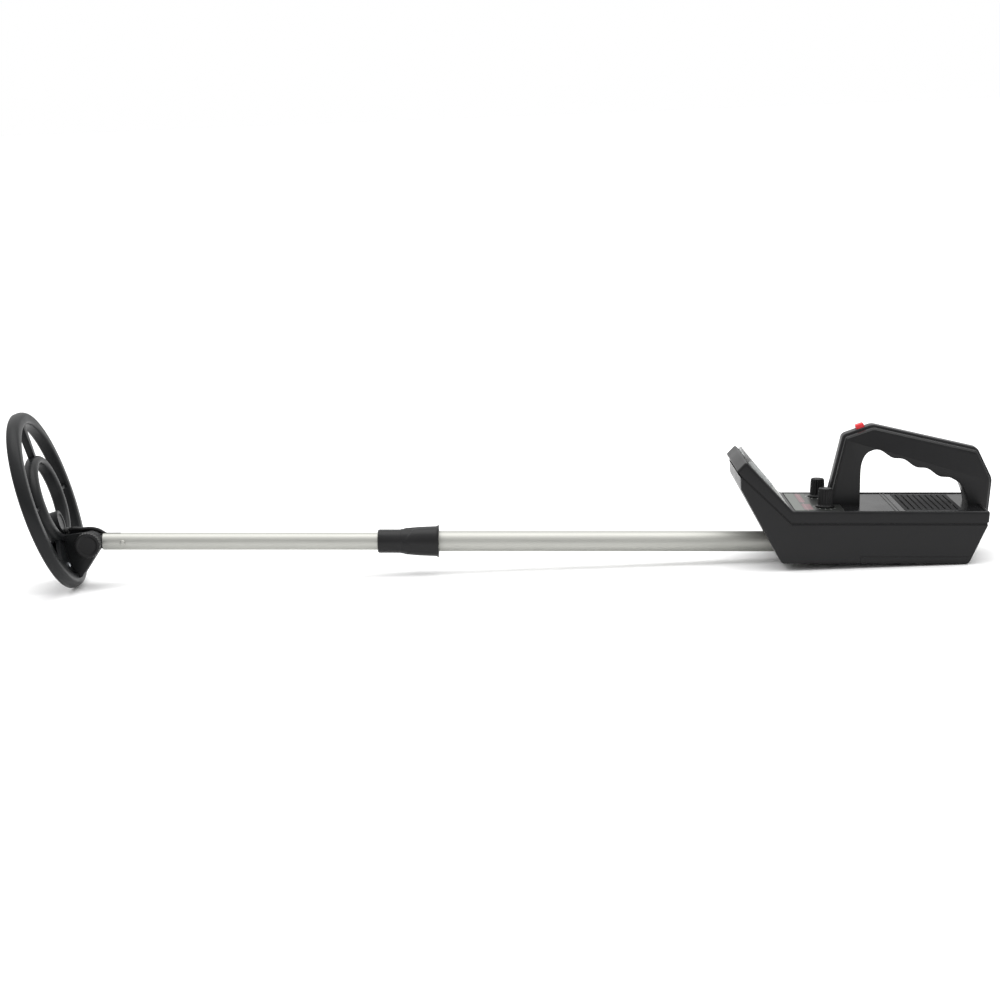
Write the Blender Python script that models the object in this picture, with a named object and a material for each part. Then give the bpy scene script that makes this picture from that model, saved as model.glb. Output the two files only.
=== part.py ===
"""Hand-held metal detector: an open search coil on a two-part aluminium stem,
clamped in a control box that carries an analogue meter, two knobs and a D grip.

The stem runs along +X from coil to box. The origin is on the box's flat floor,
in front of the battery door. Lengths below are millimetres; meshes are metres.
"""
import math

import bmesh
import bpy
from mathutils import Matrix, Vector

MM = 0.001
GAP = 0.3                 # clearance left between touching neighbours

# Stem
AXIS_Z = 13.0             # stem axis above the box floor
PIVOT_X = -789.5          # coil hinge
LOWER_R, UPPER_R, TUBE_WALL = 9.5, 11.1, 1.2
LOWER_X = (-776.5, -373.0)
UPPER_X = (-446.0, 150.0)
NUT_X = (-477.0, -410.5)

# Search coil, measured in its own plane: a rearwards, b across, c up from mid-thickness
COIL_ANGLE = math.radians(71.9)
COIL_CENTRE = (-57.8, 0.0, -29.1)          # from the hinge, in coil axes
RING_OUT, RING_IN = (99.6, 99.6), (85.0, 85.0)
LOOP_OUT, LOOP_IN = (50.0, 58.0), (40.5, 41.0)
COIL_TOP, COIL_SPLIT, COIL_BASE = 6.8, -4.75, -6.8
COIL_WALL = 2.0
BOSS_A, BOSS_R = 27.8, 13.5
EAR_B = (10.2, 15.0)
EAR_R = 12.8

# Control box
HALF_WIDTH = 60.0
WALL = 2.2
FLOOR = 1.6
PANEL_Z = 56.0
SLOPE_TOP, SLOPE_FOOT = (-83.5, 110.3), (-33.7, 56.0)
PARTING_Z = 43.5
BOX_OUTLINE = [(-43.5, 0.0), (156.0, 0.0), (175.8, 43.0), (176.8, 56.0), SLOPE_FOOT,
               SLOPE_TOP, (-93.8, 99.4), (-89.2, 92.5), (-89.0, 80.5)]
DOOR_X, DOOR_Z = 40.4, 7.7
KNOB_X, KNOB_Y = 5.0, 31.0
GRILLE_X, GRILLE_Y = (88.0, 150.0), 48.0
SPEAKER_X, SPEAKER_R = 119.0, 28.0
STRAP_X, STRAP_SCREW_Y = 5.0, 17.7

# Handle
HANDLE_HALF = 16.0
SPINE_HALF = 7.0
SPINE_PATH = [(8.9, 57.0), (25.6, 131.5), (57.5, 142.8), (171.5, 117.3), (188.5, 83.5),
              (185.5, 46.0)]
SPINE_ROUND = 4.0
SPINE_PROUD = 2.5
BUTTON_AT = 45.0

# Meter, on the sloping face: t down the slope, m out of it
SLOPE_RUN = Vector((SLOPE_FOOT[0] - SLOPE_TOP[0], 0.0, SLOPE_FOOT[1] - SLOPE_TOP[1]))
SLOPE_ANGLE = math.atan2(-SLOPE_RUN.z, SLOPE_RUN.x)
METER_HALF = 50.0
NEEDLE_LENGTH = 28.0
NEEDLE_HUB = 10.0
NEEDLE_REST = math.radians(40.0)

FINISHES = {
    "black_case": ((0.020, 0.020, 0.021), 0.42, 0.0),
    "black_soft": ((0.030, 0.030, 0.031), 0.60, 0.0),
    "black_coil": ((0.030, 0.031, 0.033), 0.38, 0.0),
    "aluminium": ((0.78, 0.78, 0.78), 0.32, 1.0),
    "steel": ((0.60, 0.60, 0.61), 0.25, 1.0),
    "copper": ((0.70, 0.30, 0.16), 0.35, 1.0),
    "clear": ((0.90, 0.91, 0.92), 0.08, 0.0),
    "white": ((0.85, 0.85, 0.83), 0.45, 0.0),
    "red": ((0.72, 0.05, 0.05), 0.35, 0.0),
    "label": ((0.50, 0.48, 0.47), 0.40, 0.0),
    "board": ((0.05, 0.22, 0.09), 0.50, 0.0),
    "foam": ((0.05, 0.05, 0.05), 0.95, 0.0),
    "nylon": ((0.75, 0.74, 0.70), 0.50, 0.0),
    "paper": ((0.06, 0.06, 0.06), 0.90, 0.0),
    "battery": ((0.10, 0.10, 0.11), 0.35, 0.2),
}


# ---------------------------------------------------------------- mesh helpers

def finish_material(name, finish):
    colour, roughness, metallic = FINISHES[finish]
    material = bpy.data.materials.new(name + "_material")
    material.use_nodes = True
    shader = material.node_tree.nodes["Principled BSDF"]
    shader.inputs["Base Color"].default_value = (*colour, 1.0)
    shader.inputs["Roughness"].default_value = roughness
    shader.inputs["Metallic"].default_value = metallic
    return material


def add(name, bm, finish, parent=None, at=(0.0, 0.0, 0.0), turn=0.0):
    """Link a millimetre bmesh as a named object; turn is about Y, in radians."""
    bmesh.ops.recalc_face_normals(bm, faces=bm.faces)
    bmesh.ops.scale(bm, vec=(MM, MM, MM), verts=bm.verts)
    mesh = bpy.data.meshes.new(name)
    bm.to_mesh(mesh)
    bm.free()
    obj = bpy.data.objects.new(name, mesh)
    bpy.context.collection.objects.link(obj)
    obj.location = Vector(at) * MM
    obj.rotation_euler = (0.0, turn, 0.0)
    obj.parent = parent
    if finish:
        mesh.materials.append(finish_material(name, finish))
    return obj


def empty(name, at, turn=0.0, parent=None):
    obj = bpy.data.objects.new(name, None)
    bpy.context.collection.objects.link(obj)
    obj.location = Vector(at) * MM
    obj.rotation_euler = (0.0, turn, 0.0)
    obj.parent = parent
    return obj


def boolean(target, bm, operation, at=(0.0, 0.0, 0.0), turn=0.0, parent=None):
    """Cut or join a helper solid; the helper is hidden and isn't a part."""
    count = len(target.modifiers)
    tool = add("%s_tool_%d" % (target.name, count), bm, None, parent or target.parent, at, turn)
    tool.hide_render = True
    tool.display_type = "WIRE"
    modifier = target.modifiers.new("%s %d" % (operation.lower(), count), "BOOLEAN")
    modifier.operation = operation
    modifier.object = tool
    modifier.solver = "EXACT"
    return tool


def cut(target, bm, **place):
    return boolean(target, bm, "DIFFERENCE", **place)


def join(target, bm, **place):
    return boolean(target, bm, "UNION", **place)


def smooth(obj, degrees=35.0):
    obj.data.shade_smooth()
    obj.data.set_sharp_from_angle(angle=math.radians(degrees))
    return obj


def bevel(obj, width, segments=2, angle=40.0):
    modifier = obj.modifiers.new("edges", "BEVEL")
    modifier.width = width * MM
    modifier.segments = segments
    modifier.limit_method = "ANGLE"
    modifier.angle_limit = math.radians(angle)
    modifier.use_clamp_overlap = True
    return obj


def prism(outline, low, high, axis="Y"):
    """A flat outline pushed from low to high along an axis."""
    place = {"X": lambda p, q, d: (d, p, q),
             "Y": lambda p, q, d: (p, d, q),
             "Z": lambda p, q, d: (p, q, d)}[axis]
    bm = bmesh.new()
    first = [bm.verts.new(place(p, q, low)) for p, q in outline]
    last = [bm.verts.new(place(p, q, high)) for p, q in outline]
    bm.faces.new(first)
    bm.faces.new(last[::-1])
    for i in range(len(outline)):
        j = (i + 1) % len(outline)
        bm.faces.new((first[i], last[i], last[j], first[j]))
    return bm


def block(low, high):
    """A box between two corners."""
    outline = [(low[0], low[2]), (high[0], low[2]), (high[0], high[2]), (low[0], high[2])]
    return prism(outline, low[1], high[1])


def circle(radius, sides, centre=(0.0, 0.0), start=0.0, sweep=2.0 * math.pi):
    """Points round a circle; an arc includes both of its ends."""
    closed = abs(sweep - 2.0 * math.pi) < 1e-6
    steps = sides if closed else sides - 1
    return [(centre[0] + radius * math.cos(start + sweep * i / steps),
             centre[1] + radius * math.sin(start + sweep * i / steps)) for i in range(sides)]


def rod(radius, low, high, axis="X", sides=24, centre=(0.0, 0.0)):
    return prism(circle(radius, sides, centre), low, high, axis)


def lathe(profile, axis="X", sides=32, centre=(0.0, 0.0)):
    """Turn a closed (radius, height) outline right round an axis."""
    place = {"X": lambda p, q, h: (h, p, q),
             "Y": lambda p, q, h: (p, h, q),
             "Z": lambda p, q, h: (p, q, h)}[axis]
    bm = bmesh.new()
    loops = []
    for i in range(sides):
        angle = 2.0 * math.pi * i / sides
        loops.append([bm.verts.new(place(centre[0] + r * math.cos(angle),
                                         centre[1] + r * math.sin(angle), h))
                      for r, h in profile])
    for i in range(sides):
        a, b = loops[i], loops[(i + 1) % sides]
        for k in range(len(profile)):
            m = (k + 1) % len(profile)
            bm.faces.new((a[k], b[k], b[m], a[m]))
    return bm


def spindle(profile, axis="X", sides=24, centre=(0.0, 0.0)):
    """A turned solid whose outline starts or ends on the axis (written as radius 0.01)."""
    bm = lathe(profile, axis, sides, centre)
    bmesh.ops.remove_doubles(bm, verts=bm.verts, dist=0.03)
    return bm


def ellipse_radius(axes, angle):
    return 1.0 / math.hypot(math.cos(angle) / axes[0], math.sin(angle) / axes[1])


def oval_ring(outer, inner, section, sides=48):
    """A ring in the coil plane. section holds (edge, inset, height) round the solid."""
    bm = bmesh.new()
    loops = []
    for i in range(sides):
        angle = 2.0 * math.pi * i / sides
        points = []
        for edge, inset, height in section:
            r = (ellipse_radius(outer, angle) - inset if edge == "out"
                 else ellipse_radius(inner, angle) + inset)
            points.append(bm.verts.new((r * math.cos(angle), r * math.sin(angle), height)))
        loops.append(points)
    count = len(section)
    for i in range(sides):
        a, b = loops[i], loops[(i + 1) % sides]
        for k in range(count):
            m = (k + 1) % count
            bm.faces.new((a[k], b[k], b[m], a[m]))
    return bm


def sector(inner, outer, middle, half, low, high, steps=8):
    """A plate between two ellipses, half an angle (degrees) each side of the middle."""
    angles = [math.radians(middle - half + 2.0 * half * i / steps) for i in range(steps + 1)]
    near = [(ellipse_radius(inner, t) * math.cos(t), ellipse_radius(inner, t) * math.sin(t))
            for t in angles]
    far = [(ellipse_radius(outer, t) * math.cos(t), ellipse_radius(outer, t) * math.sin(t))
           for t in angles]
    return prism(near + far[::-1], low, high, "Z")


def offset(path, distance, closed=False):
    """Shift a polyline sideways; positive moves to the right of its direction."""
    count = len(path)
    moved = []
    for i, point in enumerate(path):
        here = Vector(point)
        before = Vector(path[i - 1]) if (closed or i > 0) else None
        after = Vector(path[(i + 1) % count]) if (closed or i < count - 1) else None
        directions = []
        if before is not None:
            directions.append((here - before).normalized())
        if after is not None:
            directions.append((after - here).normalized())
        normals = [Vector((d.y, -d.x)) for d in directions]
        if len(normals) == 1:
            shift = normals[0] * distance
        else:
            total = normals[0] + normals[1]
            shift = total * (2.0 * distance / total.length_squared)
        moved.append((here + shift)[:])
    return moved


def rounded(path, radius, steps=3, closed=False):
    """Replace each corner of a polyline by a short arc-like curve."""
    count = len(path)
    out = []
    for i, point in enumerate(path):
        if not closed and i in (0, count - 1):
            out.append(tuple(point))
            continue
        here, before, after = Vector(point), Vector(path[i - 1]), Vector(path[(i + 1) % count])
        a = here + (before - here).normalized() * min(radius, 0.45 * (before - here).length)
        b = here + (after - here).normalized() * min(radius, 0.45 * (after - here).length)
        for k in range(steps + 1):
            t = k / steps
            out.append((a * (1 - t) ** 2 + here * 2 * t * (1 - t) + b * t * t)[:])
    return out


def hose(name, points, radius, finish, parent=None):
    """A flexible lead along hand-chosen points."""
    curve = bpy.data.curves.new(name, "CURVE")
    curve.dimensions = "3D"
    curve.bevel_depth = radius * MM
    curve.bevel_resolution = 2
    curve.use_fill_caps = True
    spline = curve.splines.new("POLY")
    spline.points.add(len(points) - 1)
    for slot, point in zip(spline.points, points):
        slot.co = (*(Vector(point) * MM), 1.0)
    obj = bpy.data.objects.new(name, curve)
    bpy.context.collection.objects.link(obj)
    obj.parent = parent
    curve.materials.append(finish_material(name, finish))
    return obj


def through(points, step):
    """Points at even steps along a Catmull-Rom curve through the given ones."""
    knots = [Vector(p) for p in points]
    dense = []
    for i in range(len(knots) - 1):
        p0, p1 = knots[max(i - 1, 0)], knots[i]
        p2, p3 = knots[i + 1], knots[min(i + 2, len(knots) - 1)]
        for k in range(20):
            t = k / 20.0
            dense.append(0.5 * (2 * p1 + (p2 - p0) * t + (2 * p0 - 5 * p1 + 4 * p2 - p3) * t ** 2
                                + (3 * p1 - 3 * p2 + p3 - p0) * t ** 3))
    dense.append(knots[-1])
    total = sum((b - a).length for a, b in zip(dense, dense[1:]))
    count = max(2, round(total / step))
    out, walked, target = [dense[0]], 0.0, total / count
    for a, b in zip(dense, dense[1:]):
        length = (b - a).length
        while walked + length >= target - 1e-9 and len(out) < count:
            out.append(a.lerp(b, (target - walked) / length))
            target += total / count
        walked += length
    return out + [dense[-1]]


# ---------------------------------------------------------------- search coil

def ring_sections():
    """The hollow upper half and the flat cover of a coil ring, as section outlines."""
    w, top, low = COIL_WALL, COIL_TOP, COIL_SPLIT + GAP / 2
    shell = [("out", 0.4, low), ("out", 0.0, -0.6), ("out", 0.7, 3.0), ("out", 2.4, 5.6),
             ("out", 4.6, top), ("in", 1.6, top), ("in", 0.0, top - 1.6), ("in", 0.0, low),
             ("in", w, low), ("in", w, top - w), ("out", 4.6, top - w), ("out", w + 0.6, 2.2),
             ("out", w + 0.6, low)]
    high = COIL_SPLIT - GAP / 2
    cover = [("out", 0.5, high), ("out", 2.2, COIL_BASE), ("in", 1.2, COIL_BASE),
             ("in", 0.0, high)]
    return shell, cover


def ear_outline():
    """One hinge ear, from the web up round the pivot, in (a, c)."""
    pivot = (-COIL_CENTRE[0], -COIL_CENTRE[2])
    arc = circle(EAR_R, 9, pivot, math.radians(172.0), math.radians(-132.0))
    foot = [(90.0, 9.6), (90.4, 5.8), (86.6, 5.2), (86.2, 1.0)]
    return [(49.2, 1.0), (48.6, 5.2), (41.0, 5.4), (41.0, 9.0)] + arc + foot


def coil_shell(pivot):
    shell_section, _ = ring_sections()
    shell = add("coil_upper_shell", oval_ring(RING_OUT, RING_IN, shell_section), "black_coil",
                pivot, COIL_CENTRE)
    inside_ring = (RING_IN[0] + 1.0, RING_IN[1] + 1.0)
    inside_loop = (LOOP_OUT[0] - 1.0, LOOP_OUT[1] - 1.0)
    place = {"at": COIL_CENTRE, "parent": pivot}
    join(shell, oval_ring(LOOP_OUT, LOOP_IN, shell_section, 40), **place)
    join(shell, sector(inside_loop, inside_ring, 0.0, 36.0, -1.0, 3.0, 12), **place)
    join(shell, sector(inside_loop, inside_ring, 180.0, 4.2, -4.4, 3.4, 2), **place)
    for side in (90.0, 270.0):
        join(shell, sector(inside_loop, inside_ring, side, 2.2, -3.0, 4.0, 2), **place)
    for side in (-1.0, 1.0):
        low, high = sorted((side * EAR_B[0], side * EAR_B[1]))
        join(shell, prism(ear_outline(), low, high), **place)
    boss = [(BOSS_R - 1.2, 5.6), (BOSS_R, 4.4), (BOSS_R, -4.6), (BOSS_R - 2.0, -4.6),
            (BOSS_R - 2.0, 3.4), (0.01, 3.4), (0.01, 5.6)]
    join(shell, spindle(boss, "Z", 24, (BOSS_A, 0.0)), **place)
    hinge = -COIL_CENTRE[0], -COIL_CENTRE[2]
    cut(shell, rod(3.3, -20.0, 20.0, "Y", 16, hinge), **place)
    cut(shell, rod(3.0, 0.0, 9.0, "Z", 12, (38.6, 0.0)), **place)
    for side in (-1.0, 1.0):
        cut(shell, rod(1.6, -9.0, 9.0, "Z", 12, (71.0, side * 27.0)), **place)
    return shell


def coil_cover(pivot):
    _, section = ring_sections()
    cover = add("coil_lower_cover", oval_ring(RING_OUT, RING_IN, section), "black_coil", pivot,
                COIL_CENTRE)
    high = COIL_SPLIT - GAP / 2
    place = {"at": COIL_CENTRE, "parent": pivot}
    inside_ring = (RING_IN[0] + 3.0, RING_IN[1] + 3.0)
    inside_loop = (LOOP_OUT[0] - 3.0, LOOP_OUT[1] - 3.0)
    join(cover, oval_ring(LOOP_OUT, LOOP_IN, section, 40), **place)
    join(cover, sector(inside_loop, inside_ring, 0.0, 35.0, COIL_BASE + 0.4, high - 0.2, 12), **place)
    join(cover, rod(BOSS_R, COIL_BASE + 0.3, high - 0.1, "Z", 24, (BOSS_A, 0.0)), **place)
    for side in (-1.0, 1.0):
        spot = (71.0, side * 27.0)
        join(cover, rod(3.2, high - 1.0, -1.3, "Z", 12, spot), **place)
        cut(cover, rod(1.15, -5.9, 0.0, "Z", 12, spot), **place)
    return cover


def coil_windings(pivot):
    transmit = [("in", 3.4, -4.2), ("in", 3.4, 3.6), ("in", 4.0, 4.2), ("in", 8.6, 4.2),
                ("in", 9.6, 3.4), ("in", 9.6, -4.2)]
    add("transmit_winding", oval_ring(RING_OUT, RING_IN, transmit, 40), "copper", pivot,
        COIL_CENTRE)
    centre = (44.8, 49.5)
    receive = [("in", -1.7, -4.0), ("in", -1.7, 2.0), ("in", -1.0, 2.7), ("in", 1.0, 2.7),
               ("in", 1.7, 2.0), ("in", 1.7, -4.0)]
    add("receive_winding", oval_ring(centre, centre, receive, 36), "copper", pivot, COIL_CENTRE)


def coil_fixings(pivot):
    for number, side in enumerate((-1.0, 1.0), 1):
        profile = [(2.9, 3.3), (2.9, 4.4), (2.0, 5.2), (0.01, 5.2), (0.01, -5.6), (0.85, -5.6),
                   (0.85, 3.3)]
        screw = spindle(profile, "Z", 12, (71.0, side * 27.0))
        smooth(add("coil_screw_%d" % number, screw, "steel", pivot, COIL_CENTRE))
    gland = [(2.45, 2.2), (2.45, 9.8), (3.3, 9.8), (4.6, 7.1), (2.7, 7.1), (2.7, 2.2)]
    smooth(add("lead_gland", lathe(gland, "Z", 16, (38.6, 0.0)), "black_soft", pivot, COIL_CENTRE))


def hinge_hardware(pivot, stem):
    """Bolt, thumb knob and washers across the ears, all on the coil's own axis."""
    bolt = [(3.0, 21.0), (3.0, -15.4), (5.4, -15.4), (5.4, -18.6), (0.01, -18.6), (0.01, 21.0)]
    smooth(add("hinge_bolt", spindle([(r, -h) for r, h in bolt], "Y", 16), "nylon", pivot))
    knob_pivot = empty("thumb_knob_pivot", (PIVOT_X, 0.0, AXIS_Z))
    knob = [(3.3, -15.4), (9.0, -15.4), (9.0, -17.0), (13.4, -17.8), (13.8, -18.8), (13.8, -26.0),
            (12.6, -27.4), (0.01, -27.4), (0.01, -22.0), (3.3, -22.0)]
    smooth(add("thumb_knob", spindle(knob, "Y", 32), "black_soft", knob_pivot))
    for number, side in enumerate((-1.0, 1.0), 1):
        washer = [(3.4, 8.5 * side), (9.6, 8.5 * side), (9.6, 9.9 * side), (3.4, 9.9 * side)]
        smooth(add("friction_washer_%d" % number, lathe(washer, "Y", 20), "black_soft", stem,
                   (PIVOT_X, 0.0, AXIS_Z)))


# ---------------------------------------------------------------- stem

def lower_stem(stem):
    tube = [(LOWER_R, LOWER_X[0]), (LOWER_R, LOWER_X[1]), (LOWER_R - TUBE_WALL, LOWER_X[1]),
            (LOWER_R - TUBE_WALL, LOWER_X[0])]
    lower = smooth(add("lower_tube", lathe(tube, "X", 28), "aluminium", stem,
                       (0.0, 0.0, AXIS_Z)))
    cut(lower, block((-778.0, -2.7, 3.0), (-757.0, 2.7, 12.0)), at=(0.0, 0.0, AXIS_Z))
    cut(lower, rod(1.8, -12.0, 12.0, "Y", 12, (-754.0, 0.0)), at=(0.0, 0.0, AXIS_Z))

    tip = add("stem_tip", rod(10.6, -8.2, 8.2, "Y", 28, (PIVOT_X, 0.0)), "black_case", stem,
              (0.0, 0.0, AXIS_Z))
    plug = LOWER_R - TUBE_WALL - GAP
    join(tip, rod(8.1, PIVOT_X + 2.0, LOWER_X[0] - GAP, "X", 20), at=(0.0, 0.0, AXIS_Z))
    join(tip, rod(plug, LOWER_X[0] - 1.0, -746.0, "X", 20), at=(0.0, 0.0, AXIS_Z))
    cut(tip, rod(3.3, -12.0, 12.0, "Y", 16, (PIVOT_X, 0.0)), at=(0.0, 0.0, AXIS_Z))
    cut(tip, block((-778.5, -2.8, 1.2), (-740.0, 2.8, 12.0)), at=(0.0, 0.0, AXIS_Z))
    cut(tip, rod(1.8, -12.0, 12.0, "Y", 12, (-754.0, 0.0)), at=(0.0, 0.0, AXIS_Z))

    rivet = [(0.01, -9.3), (1.2, -9.3), (1.2, -9.85), (3.0, -9.85), (2.4, -10.9), (0.01, -11.1)]
    rivet_obj = add("tip_rivet", spindle(rivet, "Y", 14, (-754.0, 0.0)), "steel", stem,
                    (0.0, 0.0, AXIS_Z))
    join(rivet_obj, rod(1.4, -9.5, 9.4, "Y", 14, (-754.0, 0.0)), at=(0.0, 0.0, AXIS_Z))

    bush = [(6.4, -380.0), (6.4, -368.0), (9.5, -368.0), (9.5, LOWER_X[1] + GAP),
            (8.0, LOWER_X[1] + GAP), (8.0, -380.0)]
    smooth(add("stem_bush", lathe(bush, "X", 20), "nylon", stem, (0.0, 0.0, AXIS_Z)))


def upper_stem():
    tube = [(UPPER_R, UPPER_X[0]), (UPPER_R, UPPER_X[1]), (UPPER_R - TUBE_WALL, UPPER_X[1]),
            (UPPER_R - TUBE_WALL, UPPER_X[0])]
    smooth(add("upper_tube", lathe(tube, "X", 28), "aluminium", None, (0.0, 0.0, AXIS_Z)))
    back = NUT_X[1] - 1.0
    ferrule = [(UPPER_R + GAP, -444.0), (UPPER_R + GAP, back), (13.4, back), (13.4, -444.0)]
    smooth(add("clamp_ferrule", lathe(ferrule, "X", 28), "black_case", None,
               (0.0, 0.0, AXIS_Z)))


def lock_clamp():
    """The twist-lock nut and the split collet that it presses on the lower tube."""
    pivot = empty("lock_pivot", (0.0, 0.0, AXIS_Z))
    start, end = NUT_X
    nut = [(10.0, start), (11.4, start), (12.5, start + 1.6), (12.5, -452.4), (13.6, -451.4),
           (14.0, -442.0), (14.6, -440.8), (15.4, end - 3.4), (17.5, end - 2.6), (17.5, end),
           (13.9, end), (13.9, -447.0), (12.6, -448.0), (11.0, -470.0), (10.0, -471.0)]
    smooth(add("lock_nut", lathe(nut, "X", 32), "black_case", pivot))
    steps = 20
    sweep = math.radians(346.0)
    section = [(9.9, -469.0), (10.6, -469.0), (12.0, -449.4), (9.9, -449.4)]
    bm = bmesh.new()
    rows = []
    for i in range(steps + 1):
        angle = math.radians(97.0) + sweep * i / steps
        rows.append([bm.verts.new((h, r * math.cos(angle), r * math.sin(angle)))
                     for r, h in section])
    for a, b in zip(rows, rows[1:]):
        for k in range(4):
            bm.faces.new((a[k], b[k], b[(k + 1) % 4], a[(k + 1) % 4]))
    bm.faces.new(rows[0][::-1])
    bm.faces.new(rows[-1])
    smooth(add("lock_collet", bm, "nylon", pivot))


# ---------------------------------------------------------------- control box

def parting(shift):
    """The stepped line between the two case halves, moved up by shift."""
    run = (-93.8 + 34.0, 99.4 - PARTING_Z)
    return [(-34.0 + run[0] * 1.4, PARTING_Z + run[1] * 1.4 + shift),
            (-34.0, PARTING_Z + shift), (210.0, PARTING_Z + shift)]


def case_form(name, finish):
    return bevel(add(name, prism(BOX_OUTLINE, -HALF_WIDTH, HALF_WIDTH), finish), 3.0, 2, 24.0)


def case_inside():
    return prism(offset(BOX_OUTLINE, -WALL, closed=True), -HALF_WIDTH + WALL, HALF_WIDTH - WALL)


def lower_case():
    case = case_form("lower_case", "black_case")
    cut(case, prism(parting(-GAP / 2) + [(210.0, 160.0), (-150.0, 160.0)], -70.0, 70.0))
    inside = offset(BOX_OUTLINE, -WALL, closed=True)
    inside[0] = (inside[0][0], FLOOR)
    inside[1] = (inside[1][0], FLOOR)
    cut(case, prism(inside, -HALF_WIDTH + WALL, HALF_WIDTH - WALL))
    cut(case, block((DOOR_X - GAP, -70.0, -5.0), (200.0, 70.0, DOOR_Z + GAP)))
    cut(case, rod(UPPER_R + 0.3, -80.0, -20.0, "X", 24, (0.0, AXIS_Z)))
    for side in (-1.0, 1.0):
        low, high = sorted((side * 13.9, side * 21.5))
        join(case, block((STRAP_X - 6.0, low, FLOOR - 0.6), (STRAP_X + 6.0, high, 6.0)))
        cut(case, rod(1.5, 0.9, 9.0, "Z", 10, (STRAP_X, side * STRAP_SCREW_Y)))
    for side in (-1.0, 1.0):
        low, high = sorted((side * 46.0, side * 58.6))
        join(case, block((144.0, low, 9.0), (156.5, high, 13.0)))
        cut(case, rod(1.7, 0.0, 20.0, "Z", 12, (150.0, side * 51.0)))
        cut(case, rod(1.7, -2.0, 8.0, "Z", 12, (-30.0, side * 50.0)))
        cut(case, rod(3.4, -2.0, 0.7, "Z", 12, (-30.0, side * 50.0)))
    return case


def scallop(x):
    """Height of the grip's underside: four finger hollows on a falling line."""
    pitch, fall, wave = 25.5, 0.385, 1.7
    return 110.0 - fall * (x - 76.0) + wave * math.sin(2.0 * math.pi * (x - 83.5) / pitch)


def handle_outline():
    """The grip in side view: shoulders outside, finger opening inside."""
    outside = offset(rounded(SPINE_PATH, SPINE_ROUND), SPINE_PROUD)
    outside[0] = (outside[0][0] - 0.6, 54.6)
    outside[-1] = (outside[-1][0], 47.0)
    grip = [(x, scallop(x)) for x in [76.0 + 5.1 * i for i in range(14)]]
    nose = rounded([(44.6, 54.6), (44.6, 100.0), (50.0, 113.0), (63.0, 117.6), grip[0]], 9.0, 3)
    heel = rounded([grip[-1], (155.2, 79.0), (160.8, 62.4), (161.7, 54.6)], 6.0, 3)
    return outside + [(175.5, 44.4), (175.5, 54.6)] + heel[::-1] + grip[-2:0:-1] + nose[::-1]


def handle_solid():
    outline = handle_outline()
    bm = prism(outline, -HANDLE_HALF, HANDLE_HALF)
    outside = len(rounded(SPINE_PATH, SPINE_ROUND))
    bm.verts.ensure_lookup_table()
    count = len(outline)
    chosen = []
    for edge in bm.edges:
        a, b = sorted(v.index for v in edge.verts)
        same_side = (a < count) == (b < count)
        if same_side and a % count < outside and b % count < outside and abs(a - b) == 1:
            chosen.append(edge)
    bmesh.ops.bevel(bm, geom=chosen, offset=4.5, segments=2, profile=0.5, affect="EDGES")
    return bm


def button_frame():
    """Place and tilt of the push button on the handle's front chamfer."""
    (x0, z0), (x1, z1) = SPINE_PATH[1], SPINE_PATH[2]
    t = (BUTTON_AT - x0) / (x1 - x0)
    return (BUTTON_AT, 0.0, z0 + t * (z1 - z0)), -math.atan2(z1 - z0, x1 - x0)


def upper_case():
    case = case_form("upper_case", "black_case")
    cut(case, prism(parting(GAP / 2) + [(210.0, -30.0), (-150.0, -30.0)], -70.0, 70.0))
    cut(case, case_inside())
    join(case, handle_solid())
    channel = offset(SPINE_PATH, -8.0) + offset(SPINE_PATH, 9.0)[::-1]
    cut(case, prism(channel, -SPINE_HALF - 0.4, SPINE_HALF + 0.4))
    place, tilt = button_frame()
    cut(case, block((-7.5, -5.5, -24.0), (7.5, 5.5, 5.0)), at=place, turn=tilt)
    cut(case, block((22.0, -3.0, 40.0), (28.0, 3.0, 62.0)))
    cut(case, block((20.0, -3.0, 58.0), (25.0, 3.0, 62.0)))
    cut(case, block((GRILLE_X[0] + 2.0, -GRILLE_Y + 2.0, 50.0),
                    (GRILLE_X[1] - 2.0, GRILLE_Y - 2.0, 60.0)))
    cut(case, block((GRILLE_X[0] - GAP, -GRILLE_Y - GAP, 55.0),
                    (GRILLE_X[1] + GAP, GRILLE_Y + GAP, 60.0)))
    for side in (-1.0, 1.0):
        cut(case, rod(4.0, 40.0, 60.0, "Z", 14, (KNOB_X, side * KNOB_Y)))
        for x, foot in ((-30.0, 2.2), (150.0, 13.6)):
            spot = (x, side * (50.0 if x < 0.0 else 51.0))
            join(case, rod(3.8, foot, 54.5, "Z", 12, spot))
            cut(case, rod(1.5, foot - 2.0, foot + 12.0, "Z", 10, spot))
    for x in (-16.0, 76.0):
        for side in (-1.0, 1.0):
            join(case, rod(2.6, 35.0, 54.5, "Z", 10, (x, side * 39.0)))
    middle, angle = meter_frame()
    cut(case, block((-31.0, -METER_HALF + 5.0, -8.0), (22.0, METER_HALF - 5.0, 6.0)),
        at=middle, turn=angle)
    return case


def handle_spine():
    path = rounded(SPINE_PATH, SPINE_ROUND)
    outline = path + offset(path, 4.6)[::-1]
    spine = bevel(add("handle_spine", prism(outline, -SPINE_HALF, SPINE_HALF), "black_soft"),
                  0.8, 1, 50.0)
    place, tilt = button_frame()
    cut(spine, block((-5.1, -4.9, -12.0), (5.1, 4.9, 6.0)), at=place, turn=tilt)
    return spine


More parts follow.
